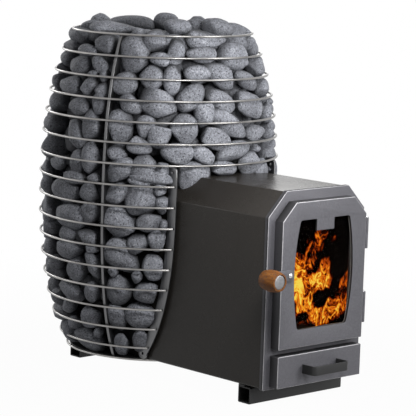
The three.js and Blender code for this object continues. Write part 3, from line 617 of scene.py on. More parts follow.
def ribParts(angle):
    # A flat bar carried up the barrel just inside the rings
    height = np.linspace(basket["base"], basket["top"], basket["ribSteps"])
    half = np.array([basket["ribDepth"], basket["ribThickness"]]) / 2
    radius = barrelRadius(height) - basket["wire"] - basket["trim"] - basket["ribInset"] - half[0]
    angle = math.radians(angle)
    path = onBasket(angle, radius, height)
    outwards = np.broadcast_to(np.array([math.sin(angle), -math.cos(angle), 0]), path.shape)
    across = np.broadcast_to(np.array([math.cos(angle), math.sin(angle), 0]), path.shape)
    return [carriedPart(rectangleLoop(-half, half, basket["ribEdge"], 4), path, outwards, across)]


def bentCurve(start, pull, end, count):
    # A quadratic curve: (1 - t)^2 start + 2 t (1 - t) pull + t^2 end
    t = np.linspace(0, 1, count)[:, None]
    return (1 - t) ** 2 * np.array(start) + 2 * t * (1 - t) * np.array(pull) + t ** 2 * np.array(end)


def plateFront(height):
    # Where an arch plate's front edge meets the outside of the rings
    reach = barrelRadius(height) + basket["wire"] - basket["trim"]
    return basket["axisY"] - np.sqrt(reach ** 2 - basket["plateOutside"] ** 2)


def archPlateParts(side):
    # A strip cut to the barrel's curve beside the firebox: square on top, round below, a hole at each end
    top = basket["lowestFullRing"] - basket["wire"] - basket["gap"]
    width, corner = basket["plateWidth"], basket["plateCorner"]
    end = width / 2
    bottom = basket["base"] + end
    down = np.linspace(top - corner, bottom, basket["plateSteps"])
    knee = [(plateFront(top) + corner, top), (plateFront(top), top), (plateFront(top - corner), top - corner)]
    turn = np.linspace(np.pi, 2 * np.pi, 18)[1:-1]
    outline = np.vstack([
        [(plateFront(top) + width, top), knee[0]], bentCurve(*knee, 8)[1:-1],
        np.stack([plateFront(down), down], -1),
        np.stack([plateFront(bottom) + end + end * np.cos(turn), bottom + end * np.sin(turn)], -1),
        np.stack([plateFront(down) + width, down], -1)[::-1],
    ])
    upper = top - basket["holeInset"]
    holes = [circleLoop(plateFront(upper) + basket["holeInset"], upper, basket["hole"]),
             circleLoop(plateFront(bottom) + end, bottom, basket["hole"])]
    inner, outer = basket["plateOutside"] - basket["plateThickness"], basket["plateOutside"]
    low, high = (-outer, -inner) if side < 0 else (inner, outer)
    return placed(plateParts(outline, holes, low, high, basket["plateEdge"]), sideAxes)


def buildRing(name, node, isSplit):
    low, high = nodeBox(node)
    parts = ringParts((low[2] + high[2]) / 2, isSplit)
    buildPiece(name, parts, wire, "stove", [node])


def buildBasket():
    for number in range(1, basket["rings"] + 1):
        buildRing(f"wire_{number:02d}", f"ring_{number:02d}", number > basket["fullRings"])
    buildRing("wire_base", "base_ring", False)
    for node, angle in basket["ribAngles"].items():
        name = node.replace("rib_", "rib_bar_")
        buildPiece(name, ribParts(angle), strip, "stove", [node])
    for side, word in ((-1, "left"), (1, "right")):
        parts = archPlateParts(side)
        buildPiece(f"arch_strip_{word}", parts, strip, "stove", [f"arch_plate_{word}"])
    low, high = nodeBox("base_plate")
    side = roundedSide(high[0] - basket["discTrim"], low[2], high[2], basket["discEdge"])
    disc = lathePart([(0, low[2]), *side, (0, high[2])], basket["discSteps"])
    parts = shifted([disc], (0, basket["axisY"], 0))
    buildPiece("base_disc", parts, blackSteel, "stove", ["base_plate"])
    print("basket built")


buildBasket()


# Stones

stones = {
    "grid": (19, 26),  # points along and round each stone
    "fill": 1.11,
    "waves": (1.2, 1.2, 2.0, 2.0, 3.2), "swell": (0.065, 0.06, 0.035, 0.03, 0.014),
    "blunt": (0.82, 1.0), "taper": 0.24,
    "flats": 5, "flatLevel": (0.76, 0.98), "flatWear": 0.8,
    "clearance": 0.8,  # inside the rings
    "slopeStep": 4.0,  # over which the barrel's slope is taken
    "seenWithin": 66.0,  # degrees from the camera's side, where outer stones are smaller and deeper
    "seenSize": 0.955, "seenSink": 6.2,  # so that the ribs stand out
    "creviceShade": 0.52,  # height over a stone's middle, as a share, below which painted shade darkens it
    "shadeWithin": 50.0,  # degrees from the camera's side, where the painted crevice shade is darkest
    # Strength of the painted crevice shade on the camera's side and elsewhere round the barrel
    "facingShade": 0.97, "aroundShade": 0.5,
    "heapLean": 0.35,  # how far that height leans outwards on the heap
    # The second layer's extra tone is painted shade
    "tone": 0.3, "tonePower": 1.4, "secondLayerShade": 0.5,
    "mirrorFrom": -56.0,  # outer stones past this angle are mirrored beside the firebox on the right
    "top": 795.4, "crownFrom": 700.0,
    "fluePlace": (0.0, 179.15), "flueRadius": 61.0,
    "fireboxHalf": 145.5, "fireboxRear": 270.0, "roof": 458.0,
    "plateRoom": 8.0, "roofRoom": 6.0, "rearRoom": 20.0,
    "seeds": {"outer": 7, "hidden": 21, "second": 22, "mirrored": 23, "heap": 31},
}

# Where the outer stones show, read in three enlarged cuts of the photograph, in the cut's pixels:
# middle across and down, half length, half width, and tilt of the length, clockwise from level
stoneCuts = [
    {"corner": (40, 5), "enlarged": 7, "stones": [
        (305, 220, 105, 55, -5), (452, 278, 75, 66, 0), (240, 295, 75, 38, -25), (335, 315, 70, 48, 0),
        (155, 370, 80, 55, -25), (290, 420, 80, 68, 0), (430, 420, 75, 50, 50), (180, 440, 45, 38, 0),
        (380, 490, 45, 35, -40), (455, 500, 35, 45, 0), (125, 545, 42, 58, 0), (225, 555, 80, 62, 5),
        (345, 565, 80, 50, -60), (432, 600, 48, 60, 0), (135, 680, 78, 75, 0), (285, 710, 80, 68, -15),
        (425, 695, 45, 80, 0), (120, 825, 85, 68, 0), (375, 830, 70, 110, -10),
        (262, 905, 70, 98, -20), (115, 975, 100, 85, 0), (370, 1070, 75, 105, 0),
        (268, 1090, 52, 88, 0), (133, 1100, 55, 48, 0), (60, 1160, 55, 85, 0), (250, 1205, 80, 50, 0),
        (185, 1290, 108, 85, 0), (355, 1305, 65, 65, 0), (375, 1210, 55, 35, 0),
        (662, 345, 118, 118, 0), (812, 245, 75, 82, 20), (948, 325, 62, 95, 5), (838, 382, 78, 48, 10),
        (1140, 248, 125, 65, 10), (1120, 345, 112, 64, 5), (1342, 352, 100, 100, 20),
        (778, 503, 88, 82, 35), (925, 522, 70, 102, 0), (605, 553, 92, 76, 0), (1095, 485, 98, 72, 15),
        (1258, 495, 125, 75, 35), (630, 695, 90, 65, 30), (832, 693, 128, 108, 20),
        (1053, 655, 115, 85, -50), (1256, 675, 120, 75, 35), (570, 850, 92, 135, -5),
        (1148, 775, 72, 86, 0), (745, 848, 75, 80, 30), (825, 920, 78, 92, 20),
        (1010, 870, 102, 98, 0), (1315, 840, 140, 68, 35), (1217, 935, 108, 72, 30),
        (548, 1035, 65, 55, 0), (692, 988, 90, 62, 20), (955, 1045, 112, 78, 15),
        (1143, 1055, 105, 58, 30), (1355, 1020, 125, 68, -20), (560, 1150, 120, 75, -40),
        (727, 1135, 95, 100, 0), (850, 1185, 50, 95, 15), (1078, 1210, 112, 110, 0),
        (1287, 1147, 92, 57, 5), (1465, 1112, 88, 76, -15), (540, 1320, 90, 65, -35),
        (715, 1345, 100, 122, 0), (700, 1230, 80, 42, 0), (848, 1275, 48, 65, 0),
    ]},
    {"corner": (40, 180), "enlarged": 7, "stones": [
        (568, 305, 108, 108, 10), (765, 290, 82, 68, -20), (852, 180, 45, 60, 0),
        (860, 320, 30, 55, 0), (578, 540, 140, 95, 35), (685, 445, 72, 78, 20), (815, 420, 60, 75, 0),
        (790, 605, 75, 100, 5), (556, 758, 92, 106, 0), (745, 787, 90, 78, -15), (682, 680, 42, 45, 0),
        (535, 955, 70, 105, -20), (715, 945, 102, 85, 0), (570, 1150, 58, 82, 0),
        (708, 1125, 68, 88, 0), (510, 640, 35, 40, 0), (230, 255, 120, 95, 10), (345, 230, 65, 85, 30),
        (340, 402, 75, 52, 10), (112, 325, 42, 42, 0), (195, 370, 65, 50, 0), (210, 475, 95, 70, 0),
        (375, 485, 50, 30, 0), (264, 612, 80, 90, 0), (140, 570, 58, 48, 0), (375, 590, 52, 98, -20),
        (218, 768, 92, 62, 25), (370, 785, 60, 80, 0), (205, 905, 95, 70, 30), (370, 955, 72, 70, 0),
        (240, 990, 50, 42, 0), (360, 1115, 105, 80, 20), (420, 1065, 35, 40, 0),
    ]},
    {"corner": (215, 15), "enlarged": 9, "stones": [
        (355, 278, 50, 82, 0), (270, 250, 62, 55, 0), (253, 430, 36, 42, 0), (365, 465, 105, 65, 45),
        (260, 580, 110, 75, 50), (410, 650, 90, 92, 0), (280, 810, 140, 105, 45),
        (435, 778, 62, 38, 0), (420, 890, 45, 75, -20), (485, 845, 65, 62, 0), (497, 990, 62, 58, 0),
        (358, 1062, 92, 74, 0), (475, 1055, 55, 65, 45), (550, 1080, 30, 35, 0),
        (358, 1195, 50, 42, 0), (450, 1240, 100, 62, 40), (515, 1165, 62, 48, 0),
        (545, 1262, 28, 48, 0), (495, 1380, 72, 55, 0),
    ]},
]

# Stones low on the far left: angle from the front and height of the middle, half length, half width,
# tilt of the length from level, and half depth
lowStones = [
    (-113, 72, 34, 25, 5, 18), (-127, 67, 34, 22, 0, 14),
    (-104, 140, 24, 18, 20, 16), (-118, 150, 26, 18, -10, 16),
]

# Where outer stones were read: from an angle on the left to one on the right, by height
readReach = {
    "left": -116.0, "low": (95.0, 160.0), "leftLow": -138.0, "high": 425.0, "leftHigh": -140.0,
    "right": -36.0, "overRoof": 470.0, "rightOverRoof": 54.0,
}

# Layers of stones that were not read: round the back, and a second layer behind all the outer ones
packing = {
    "hidden": {"pitch": 64, "rowPitch": 47, "half": (36, 27, 24), "sink": 0, "isBehind": True, "seed": 11},
    "second": {"pitch": 74, "rowPitch": 56, "half": (38, 31, 24), "sink": 46, "isBehind": False, "seed": 12},
    "bottom": 72, "top": 742,
    "turn": 2.2, "rise": 7.0, "tilt": 35.0,  # the most that a stone is out of place
    "size": (0.84, 1.12), "spare": 0.9,
    "besideRib": 6.0, "ribLength": 0.72,  # degrees from a rib, and how much shorter stones there are
}

# The fill of the heap behind its crest, in staggered rows
heapFill = {
    "span": 180, "pitch": (60.0, 56.0), "stagger": 30, "loose": 9.0,
    "reach": 168.0, "flueRoom": 30.0,
    "level": 751.0, "fall": 10.0, "uneven": 4.0,
    "halves": ((34, 42), (28, 35), (19, 24)),
    "crestDepth": (0.9, 24, 40),  # share of a crest stone's half length, least and most
}

# The packing behind the stones, near black as painted shade
rubble = {
    "barrelBottom": 8.0, "bankTop": 2.0,  # over the roof
    "top": 742.0, "bottom": 48.0,
    "barrelInset": 92.0, "bankInset": 84.0, "plateInset": 22.0, "rearRoom": 6.0, "leastDepth": 3.0,
    "leastSine": 1e-3, "farAway": 1e4,
    "barrelSteps": (14, 72), "bankSteps": (16, 90),  # up and round
}

# How an outline that was read becomes a stone that lies against the barrel
laying = {
    "near": 4300.0, "far": 5400.0, "steps": 4000,  # along the view, where the middles are looked for
    "gap": 7.0,  # between the rings and a stone
    "edgeOn": 68.0,  # degrees; a stone turned further from the view than this shows its depth
    "firstDepth": 20.0, "rounds": 4,
    "depth": (0.8, 13.0, 34.0),  # share of the smaller half size, least and most
    "edgeDepth": (0.95, 16.0, 34.0),  # share of the width seen, least and most
    "stretch": (0.75, 1.7), "edgeLength": 48.0,  # limits of a half length
    "leastCos": 0.12, "mostSkew": 0.85,
}

# The crest of the heap: place from the middle of the top ring, half length, half height and tilt
heapStones = np.array([
    (-82, 119, 11, 23, 19, 0), (-114, 122, 0, 28, 16, 15), (-148, 3, 7, 48, 15, -3),
    (23, 130, 6, 48, 19, 0), (78, 78, 12, 30, 19, 0), (-50, -104, 14, 31, 19, -5),
    (40, -65, 11, 23, 19, -10), (106, -4, 14, 20, 19, 0), (50, -130, 13, 34, 21, -15),
    (138, -102, 1, 29, 15, -20), (-140, -74, 2, 13, 10, 0),
], float)


def readOutlines():
    # The read outlines, in the photograph's pixels from its middle
    rows = []
    for cut in stoneCuts:
        read = np.array(cut["stones"], float)
        read[:, :4] /= cut["enlarged"]
        read[:, :2] += np.array(cut["corner"]) - photoCamera["pixels"] / 2
        rows.append(read)
    return np.concatenate(rows)


def layOutlines(outlines):
    # The middle of each stone lies on its line of sight, just inside the rings. Its outline there has squared
    # half sizes [[wide, skew], [skew, tall]]. On the barrel, turned from the view, wide becomes
    # (wide - (depth sin turned)^2) / cos(turned)^2 and skew becomes skew / cos(turned)
    focal = photoCamera["lens"] / photoCamera["sensor"] * photoCamera["pixels"]
    right, up, ahead = (np.array(axis) for axis in cameraAxes(photoCamera))
    eye = toMillimetres * np.array(photoCamera["place"]) - np.array([0, basket["axisY"], 0])
    sight = ahead + (outlines[:, :1] * right - outlines[:, 1:2] * up) / focal
    reach = np.linspace(laying["near"], laying["far"], laying["steps"])
    points = eye + reach[:, None] * sight[:, None, :]
    inside = barrelRadius(points[..., 2]) - np.hypot(points[..., 0], points[..., 1])
    lean = np.radians(-outlines[:, 4])
    cos, sin = np.cos(lean), np.sin(lean)
    share, least, most = laying["depth"]
    edgeShare, edgeLeast, edgeMost = laying["edgeDepth"]
    depth = np.full(len(outlines), laying["firstDepth"])
    for _ in range(laying["rounds"]):
        spare = inside - (basket["wire"] + basket["trim"] + laying["gap"] + depth)[:, None]
        isInside = spare > 0
        found = np.where(isInside.any(1), isInside.argmax(1), spare.argmax(1))
        middle = points[np.arange(len(points)), found]
        angle = np.arctan2(middle[:, 0], -middle[:, 1])
        turned = angle - math.atan2(eye[0], -eye[1])
        isEdgeOn = np.abs(turned) > math.radians(laying["edgeOn"])
        length, width = outlines[:, 2:4].T * reach[found] / focal
        wide = (length * cos) ** 2 + (width * sin) ** 2
        edgeDepth = np.clip(edgeShare * np.sqrt(wide), edgeLeast, edgeMost)
        depth = np.where(isEdgeOn, edgeDepth, np.clip(share * np.minimum(length, width), least, most))
    tall = (length * sin) ** 2 + (width * cos) ** 2
    slant = np.maximum(np.cos(turned), laying["leastCos"])
    along = (wide - (depth * np.sin(turned)) ** 2) / slant ** 2
    low, high = laying["stretch"]
    along = np.where(isEdgeOn, np.clip(along, tall, laying["edgeLength"] ** 2),
                     np.clip(along, wide * low ** 2, wide * high ** 2))
    skew = np.where(isEdgeOn, 0, (length ** 2 - width ** 2) * sin * cos / slant)
    mostSkew = laying["mostSkew"] * np.sqrt(along * tall)
    skew = np.clip(skew, -mostSkew, mostSkew)
    squares, ways = np.linalg.eigh(np.stack([along, skew, skew, tall], -1).reshape(-1, 2, 2))
    tilt = (np.degrees(np.arctan2(ways[:, 1, 1], ways[:, 0, 1])) + 90) % 180 - 90
    halves = np.sqrt(squares[:, ::-1])
    return np.round(np.column_stack([np.degrees(angle), middle[:, 2], halves, tilt, depth]))


# Rows like those of lowStones
outerStones = np.vstack([layOutlines(readOutlines()), lowStones])


def stoneGrids(middles, alongs, acrosses, outs, halves, seed):
    # Each stone is |d|^e times its half sizes for directions d on a sphere, made uneven by low waves
    # 1 + sum a sin(k.d + p), drawn in towards one end, then worn flat towards five planes
    rows, cols = stones["grid"]
    pick = np.random.default_rng(seed)
    count, waves, flats = len(middles), len(stones["waves"]), stones["flats"]
    lat = np.linspace(-np.pi / 2, np.pi / 2, rows)[:, None]
    lon = fullTurn(cols)[None, :]
    ways = np.broadcast_arrays(np.sin(lat), np.cos(lat) * np.cos(lon), np.cos(lat) * np.sin(lon))
    way = np.stack(ways, -1)
    wave = pick.normal(0, 1, (count, waves, 3)) * np.array(stones["waves"])[None, :, None]
    phase = pick.uniform(0, 2 * np.pi, (count, waves))
    ripple = np.sin(np.einsum("rcx,nkx->nrck", way, wave) + phase[:, None, None, :])
    swell = 1 + (ripple * np.array(stones["swell"])).sum(-1)
    blunt = pick.uniform(*stones["blunt"], (count, 1, 1, 1))
    form = np.sign(way)[None] * np.abs(way)[None] ** blunt * swell[..., None] * stones["fill"]
    taper = pick.uniform(-stones["taper"], stones["taper"], (count, 1, 1, 1))
    form[..., 1:] *= 1 + taper * form[..., :1]
    facing = unit(pick.normal(0, 1, (count, flats, 3)))
    level = pick.uniform(*stones["flatLevel"], (count, flats))
    for plane in range(flats):
        over = np.einsum("nrcx,nx->nrc", form, facing[:, plane]) - level[:, plane, None, None]
        form = form - stones["flatWear"] * np.maximum(over, 0)[..., None] * facing[:, None, None, plane]
    axes = np.stack([alongs * halves[:, :1], acrosses * halves[:, 1:2], outs * halves[:, 2:3]], 1)
    return middles[:, None, None, :] + np.einsum("nrca,nax->nrcx", form, axes)


def turnedAxes(one, two, angle):
    cos, sin = np.cos(angle)[:, None], np.sin(angle)[:, None]
    return one * cos + two * sin, two * cos - one * sin


def shellStones(table, seed, sink=0.0):
    # Stones that lie against the inside of the rings, their flat sides along the barrel
    angle, height, depth = np.radians(table[:, 0]), table[:, 1], table[:, 5]
    step = stones["slopeStep"]
    slope = (barrelRadius(height + step) - barrelRadius(height - step)) / (2 * step)
    radius = barrelRadius(height) - basket["wire"] - basket["trim"] - stones["clearance"] - depth - sink
    level = np.stack([np.cos(angle), np.sin(angle), 0 * angle], -1)
    out = unit(np.stack([np.sin(angle), -np.cos(angle), -slope], -1))
    rise = np.cross(out, level)
    rise = rise * np.sign(rise[:, 2:3])
    along, across = turnedAxes(level, rise, np.radians(table[:, 4]))
    return stoneGrids(onBasket(angle, radius, height), along, across, out, table[:, [2, 3, 5]], seed)


def behindView(angle, height):
    # Where no outer stones were read: round the back, and beside the firebox on the right
    turned = (angle + 180) % 360 - 180
    low, high = readReach["low"]
    left = np.where((height > high) | (height < low), readReach["left"], readReach["leftLow"])
    left = np.where(height > readReach["high"], readReach["leftHigh"], left)
    right = np.where(height > readReach["overRoof"], readReach["rightOverRoof"], readReach["right"])
    return (turned <= left) | (turned >= right)


def besideFirebox(angle, height, radius, spare):
    # True where a stone there keeps out of the firebox and its arch plates
    x, y, _ = onBasket(np.radians(angle), radius, height).T
    isAside = np.abs(x) > stones["fireboxHalf"] + spare + stones["plateRoom"]
    return (height > stones["roof"] + spare) | isAside | (y > stones["fireboxRear"] + spare)


def packedStones(layer):
    # Rows of stones round the barrel, every second row half a stone on, each a little out of place
    pick = np.random.default_rng(layer["seed"])
    turn, rise, tilt = (packing[key] for key in ("turn", "rise", "tilt"))
    ribs = np.array(list(basket["ribAngles"].values()))
    within = layer["sink"] + layer["half"][2]
    rows = []
    for number, height in enumerate(np.arange(packing["bottom"], packing["top"], layer["rowPitch"])):
        count = int(2 * np.pi * (barrelRadius(height) - within) / layer["pitch"])
        angle = (np.arange(count) + 0.5 * (number % 2)) * 360 / count + pick.uniform(-turn, turn, count)
        level = height + pick.uniform(-rise, rise, count)
        size = np.array(layer["half"]) * pick.uniform(*packing["size"], (count, 3))
        lean = pick.uniform(-tilt, tilt, count)
        keep = besideFirebox(angle, level, barrelRadius(level) - within, layer["half"][2] * packing["spare"])
        if layer["isBehind"]:
            keep &= behindView(angle, level)
        apart = np.abs((angle[:, None] - ribs + 180) % 360 - 180).min(1)
        size[:, 0] *= np.where(apart < packing["besideRib"], packing["ribLength"], 1)
        rows.append(np.column_stack([angle, level, size[:, :2], lean, size[:, 2]])[keep])
    return np.vstack(rows)


def heapGrids(seed):
    # The crest's stones face the front-left; behind them more fill the ring up to the flue
    yaw = math.radians(photoCamera["yaw"])
    right = np.array([math.cos(yaw), -math.sin(yaw), 0])
    out = np.array([-math.sin(yaw), -math.cos(yaw), 0])
    up = np.array([0.0, 0, 1])
    middles = heapStones[:, :3] + np.array([0, basket["axisY"], basket["top"]])
    share, least, most = heapFill["crestDepth"]
    halves = np.column_stack([heapStones[:, 3:5], np.clip(heapStones[:, 3] * share, least, most)])
    along, across = turnedAxes(right, up, np.radians(heapStones[:, 5]))
    crest = stoneGrids(middles, along, across, np.repeat(out[None], len(middles), 0), halves, seed)
    pick = np.random.default_rng(seed + 1)
    wide, deep = (np.arange(-heapFill["span"], heapFill["span"] + 1, pitch) for pitch in heapFill["pitch"])
    x, y = np.meshgrid(wide, deep)
    x = x + np.where(np.arange(len(x))[:, None] % 2, heapFill["stagger"], 0)
    loose, uneven = heapFill["loose"], heapFill["uneven"]
    x, y = ((grid + pick.uniform(-loose, loose, grid.shape)).ravel() for grid in (x, y))
    away = np.hypot(x - stones["fluePlace"][0], y + basket["axisY"] - stones["fluePlace"][1])
    reach = np.hypot(x, y)
    keep = (reach < heapFill["reach"]) & (away > stones["flueRadius"] + heapFill["flueRoom"])
    x, y, reach = x[keep], y[keep], reach[keep]
    count = len(x)
    turn = pick.uniform(0, np.pi, count)
    level = heapFill["level"] - heapFill["fall"] * (reach / heapFill["reach"]) ** 2
    middles = np.stack([x, y + basket["axisY"], level + pick.uniform(-uneven, uneven, count)], -1)
    halves = np.stack([pick.uniform(*limits, count) for limits in heapFill["halves"]], -1)
    along, across = turnedAxes(*np.eye(3)[:2], turn)
    filled = stoneGrids(middles, along, across, np.repeat(up[None], count, 0), halves, seed + 2)
    heap = np.concatenate([crest, filled])
    excess = np.maximum(heap[..., 2].max((1, 2)) - stones["top"], 0)
    heap[..., 2] -= excess[:, None, None]
    return heap


def rubbleParts():
    # Above the roof a barrel, below it a bank round three sides of the firebox
    up, around = rubble["barrelSteps"]
    height = np.linspace(stones["roof"] + rubble["barrelBottom"], rubble["top"], up)[:, None]
    barrel = onBasket(fullTurn(around)[None, :], barrelRadius(height) - rubble["barrelInset"], height)
    up, around = rubble["bankSteps"]
    height = np.linspace(rubble["bottom"], stones["roof"] + rubble["bankTop"], up)
    room, least = stones["fireboxHalf"] + stones["plateRoom"], rubble["leastSine"]
    plateBack = np.sqrt(barrelRadius(height) ** 2 - basket["plateOutside"] ** 2) - basket["plateWidth"]
    start = np.arctan2(room, plateBack - rubble["plateInset"])[None, :]
    angle = start + np.linspace(0, 1, around)[:, None] * (2 * np.pi - 2 * start)
    side = room / np.maximum(np.abs(np.sin(angle)), least)
    behind = stones["fireboxRear"] + rubble["rearRoom"] - basket["axisY"]
    rear = np.where(np.cos(angle) < 0, behind / np.maximum(-np.cos(angle), least), rubble["farAway"])
    near = np.minimum(side, rear)
    far = np.maximum(barrelRadius(height)[None, :] - rubble["bankInset"], near + rubble["leastDepth"])
    outer = onBasket(angle, far, height[None, :])
    inner = onBasket(angle, near, height[None, :])[:, ::-1]
    bank = np.concatenate([outer, inner], 1)
    return [gridPart(points, roundCols=True, capStart=True, capEnd=True) for points in (barrel, bank)]


def stoneToneAndShade(grids, isHeap, tone, isFacing):
    # How dark each point of a stone is: its own tone, and painted shade where it turns in under its
    # neighbours, by the height over its middle measured outwards from the heap
    middles = grids.mean((1, 2))
    outward = unit((middles - np.array([0, basket["axisY"], 0])) * np.array([1, 1, 0]))
    outward[isHeap] = outward[isHeap] * stones["heapLean"] + np.array([0, 0, 1.0])
    along = np.einsum("nrcx,nx->nrc", grids - middles[:, None, None], outward)
    along /= along.max((1, 2))[:, None, None]
    creviceShade = np.clip((stones["creviceShade"] - along) / stones["creviceShade"], 0, 1)
    depth = np.full(len(grids), stones["aroundShade"])
    depth[:len(isFacing)][isFacing] = stones["facingShade"]
    return 1 - (1 - tone[:, None, None]) * (1 - depth[:, None, None] * creviceShade)


def stoneFinish():
    # Dense grey olivine: coarse and fine grains of pale and dark mineral, small pits, and each stone a
    # shade of its own; the tone mark also carries painted shade in crevices and on the second layer
    finish = Finish("sauna_stone", Specular_IOR_Level=0.3)
    grain = finish.noise(260, 5, 0.8)
    cloud = finish.noise(34, 4, 0.6)
    pit = finish.cells(150)
    ground = finish.ramp(grain * 0.8 + cloud * 0.2, [
        (0.34, (0.075, 0.077, 0.086)), (0.45, (0.205, 0.212, 0.238)),
        (0.55, (0.315, 0.326, 0.364)), (0.66, (0.6, 0.618, 0.665))])
    pitted = finish.blend(finish.span(pit, 0.10, 0.32, 0.8, 0.0), ground, (0.035, 0.035, 0.038))
    # The tone mark darkens the colour: each stone's own tone, and painted shade in crevices and on the second
    # layer
    colour = finish.blend(finish.tone(), pitted, (0.045, 0.046, 0.05))
    fine = grain - finish.span(pit, 0.05, 0.32, 0.7, 0.0)
    coarse = finish.bump(cloud, 0.006, 0.6)
    return finish.coat(colour, (grain, 0.3, 0.7, 0.6, 0.8), (fine, 0.003, 0.8, coarse))


def rubbleShadeFinish():
    # Near black as painted shade behind the stones, with lumps in its bump
    finish = Finish("stone_rubble_shade", Roughness=0.95, Specular_IOR_Level=0.1)
    lumps = finish.cells(26)
    finish.set("Base Color", finish.blend(lumps, (0.012, 0.012, 0.0125), (0.035, 0.035, 0.037)))
    finish.set("Normal", finish.bump(lumps, 0.02, 0.8))
    return finish


def buildStones():
    finish, packingShadeFinish, seeds = stoneFinish(), rubbleShadeFinish(), stones["seeds"]
    turned = np.abs(outerStones[:, 0] + photoCamera["yaw"])
    isSeen = turned < stones["seenWithin"]
    table = outerStones.copy()
    table[isSeen, 2:4] *= stones["seenSize"]
    outer = shellStones(table, seeds["outer"], np.where(isSeen, stones["seenSink"], 0))
    isBeside = (outerStones[:, 0] > stones["mirrorFrom"]) & (outerStones[:, 1] < stones["roof"])
    beside = outerStones[isBeside] * np.array([-1, 1, 1, 1, -1, 1])
    hidden = np.concatenate([shellStones(packedStones(packing["hidden"]), seeds["hidden"]),
                             shellStones(beside, seeds["mirrored"])])
    second = shellStones(packedStones(packing["second"]), seeds["second"], packing["second"]["sink"])
    heap = heapGrids(seeds["heap"])
    grids = np.concatenate([outer, hidden, second, heap])
    isHeap = np.arange(len(grids)) >= len(grids) - len(heap)
    random = np.random.default_rng(seeds["outer"]).uniform(0, 1, len(grids))
    tone = stones["tone"] * random ** stones["tonePower"]
    behind = len(outer) + len(hidden)
    # The second layer, deeper in, gets painted shade through its tone
    tone[behind:behind + len(second)] += stones["secondLayerShade"]
    toneAndShade = stoneToneAndShade(grids, isHeap, tone, turned < stones["shadeWithin"])
    x, y, z = grids.mean((1, 2)).T
    beds = {
        "heap": ("stones_crown", isHeap | (z > stones["crownFrom"])),
        "upper": ("stones_over_firebox", z > stones["roof"] + stones["roofRoom"]),
        "rear": ("stones_rear", y > stones["fireboxRear"] + stones["rearRoom"]),
        "left": ("stones_left", x < 0),
        "right": ("stones_right", x >= 0),
    }
    isFree = np.ones(len(grids), bool)
    for word, (node, isThere) in beds.items():
        chosen = isFree & isThere
        isFree &= ~isThere
        parts = [gridPart(grid, roundCols=True) for grid in grids[chosen]]
        marks = [shade.ravel() for shade in toneAndShade[chosen]]
        buildPiece(f"{word}_stones", parts, finish, "stove", [node], crease=180, marks=marks)
        print(word, len(parts), "stones")
    for word, part in zip(("above", "bank"), rubbleParts()):
        buildPiece(f"rubble_{word}", [part], packingShadeFinish, "stove")


buildStones()


# Firebox, frame and feet

firebox = {
    "half": 144.8, "bottom": 40.3, "top": 458.0, "chamfer": 51.0,
    "wall": 5.0, "bend": 5.0, "innerBend": 1.0, "rear": 269.15, "rearEdge": 1.2,
    "gap": 0.3,  # between pieces that are welded
    "face": -352.35,  # the front frame's face
    "plate": 5.0, "plateEdge": 1.3, "corner": 3.5, "overhang": 2.0,
    "lip": 5.0, "lipLap": 2.5, "lipSlack": 0.4,
    "mouthInset": 23.0, "slotHalf": 104.0, "slotBottom": 45.3, "slotTop": 104.0, "holeCorner": 2.0,
    "ledge": (128.0, 141.0), "ledgeHeight": 10.0, "ledgeEdge": 0.8,  # that the baffle lies on
}
foot = {
    "height": 36.0, "wall": 3.0, "corner": 3.0, "boreCorner": 1.5, "edge": 0.7,
    "pad": 18.0, "padLap": 2.0, "padEdge": 0.8,
}
flue = {
    "bore": 57.5, "outside": 60.5, "edge": 0.9, "boreEdge": 0.5, "steps": 64,
    "flange": 4.0, "flangeEdge": 1.0, "weld": 1.5,
    "cut": 60.0,  # depth of the cut in the roof
}
insetCut = 2 - math.sqrt(2)  # how much shorter a cut-off corner's sides are for each unit of inset


def darkPaintFinish():
    # Heat-proof anthracite paint: a fine dry mottle, dulled in patches, and near black on the walls' inner
    # sides, soot with painted shade.
    # Outside is above 0 from the middle of the sheet outwards, in metres
    finish = Finish("anthracite_paint", Specular_IOR_Level=0.13)
    mottle = finish.noise(520, 4, 0.65)
    patch = finish.noise(9, 3)
    paint = finish.blend(finish.span(mottle, 0.3, 0.75), (0.0225, 0.02, 0.0175), (0.04, 0.036, 0.0323))
    middle = firebox["wall"] / 2
    half, top, rear = ((firebox[key] - middle) * toMetres for key in ("half", "top", "rear"))
    bottom = (firebox["bottom"] + middle) * toMetres
    slope = half + top - (firebox["chamfer"] - middle * insetCut) * toMetres
    aside, depth, height = finish.axis("X").size(), finish.axis("Y"), finish.axis("Z")
    outside = (aside - half).most(height - top).most(bottom - height)
    outside = outside.most(aside + height - slope).most(depth - rear)
    # Inner sides near black: soot and painted shade
    colour = finish.blend(finish.span(outside, -0.001, 0.001), (0.004, 0.004, 0.004), paint)
    return finish.coat(colour, (patch + mottle * 0.4, 0.4, 1.0, 0.22, 0.3), (mottle, 0.0002, 0.3))


def archCorners(half, bottom, top, chamfer, inset=0.0):
    # A front outline with cut-off upper corners, drawn in by an even inset
    half, bottom, top = half - inset, bottom + inset, top - inset
    chamfer = chamfer - inset * insetCut
    return [(-half, bottom), (half, bottom), (half, top - chamfer), (half - chamfer, top),
            (-half + chamfer, top), (-half, top - chamfer)]


def archSize(piece):
    return [piece[key] for key in ("half", "bottom", "top", "chamfer")]


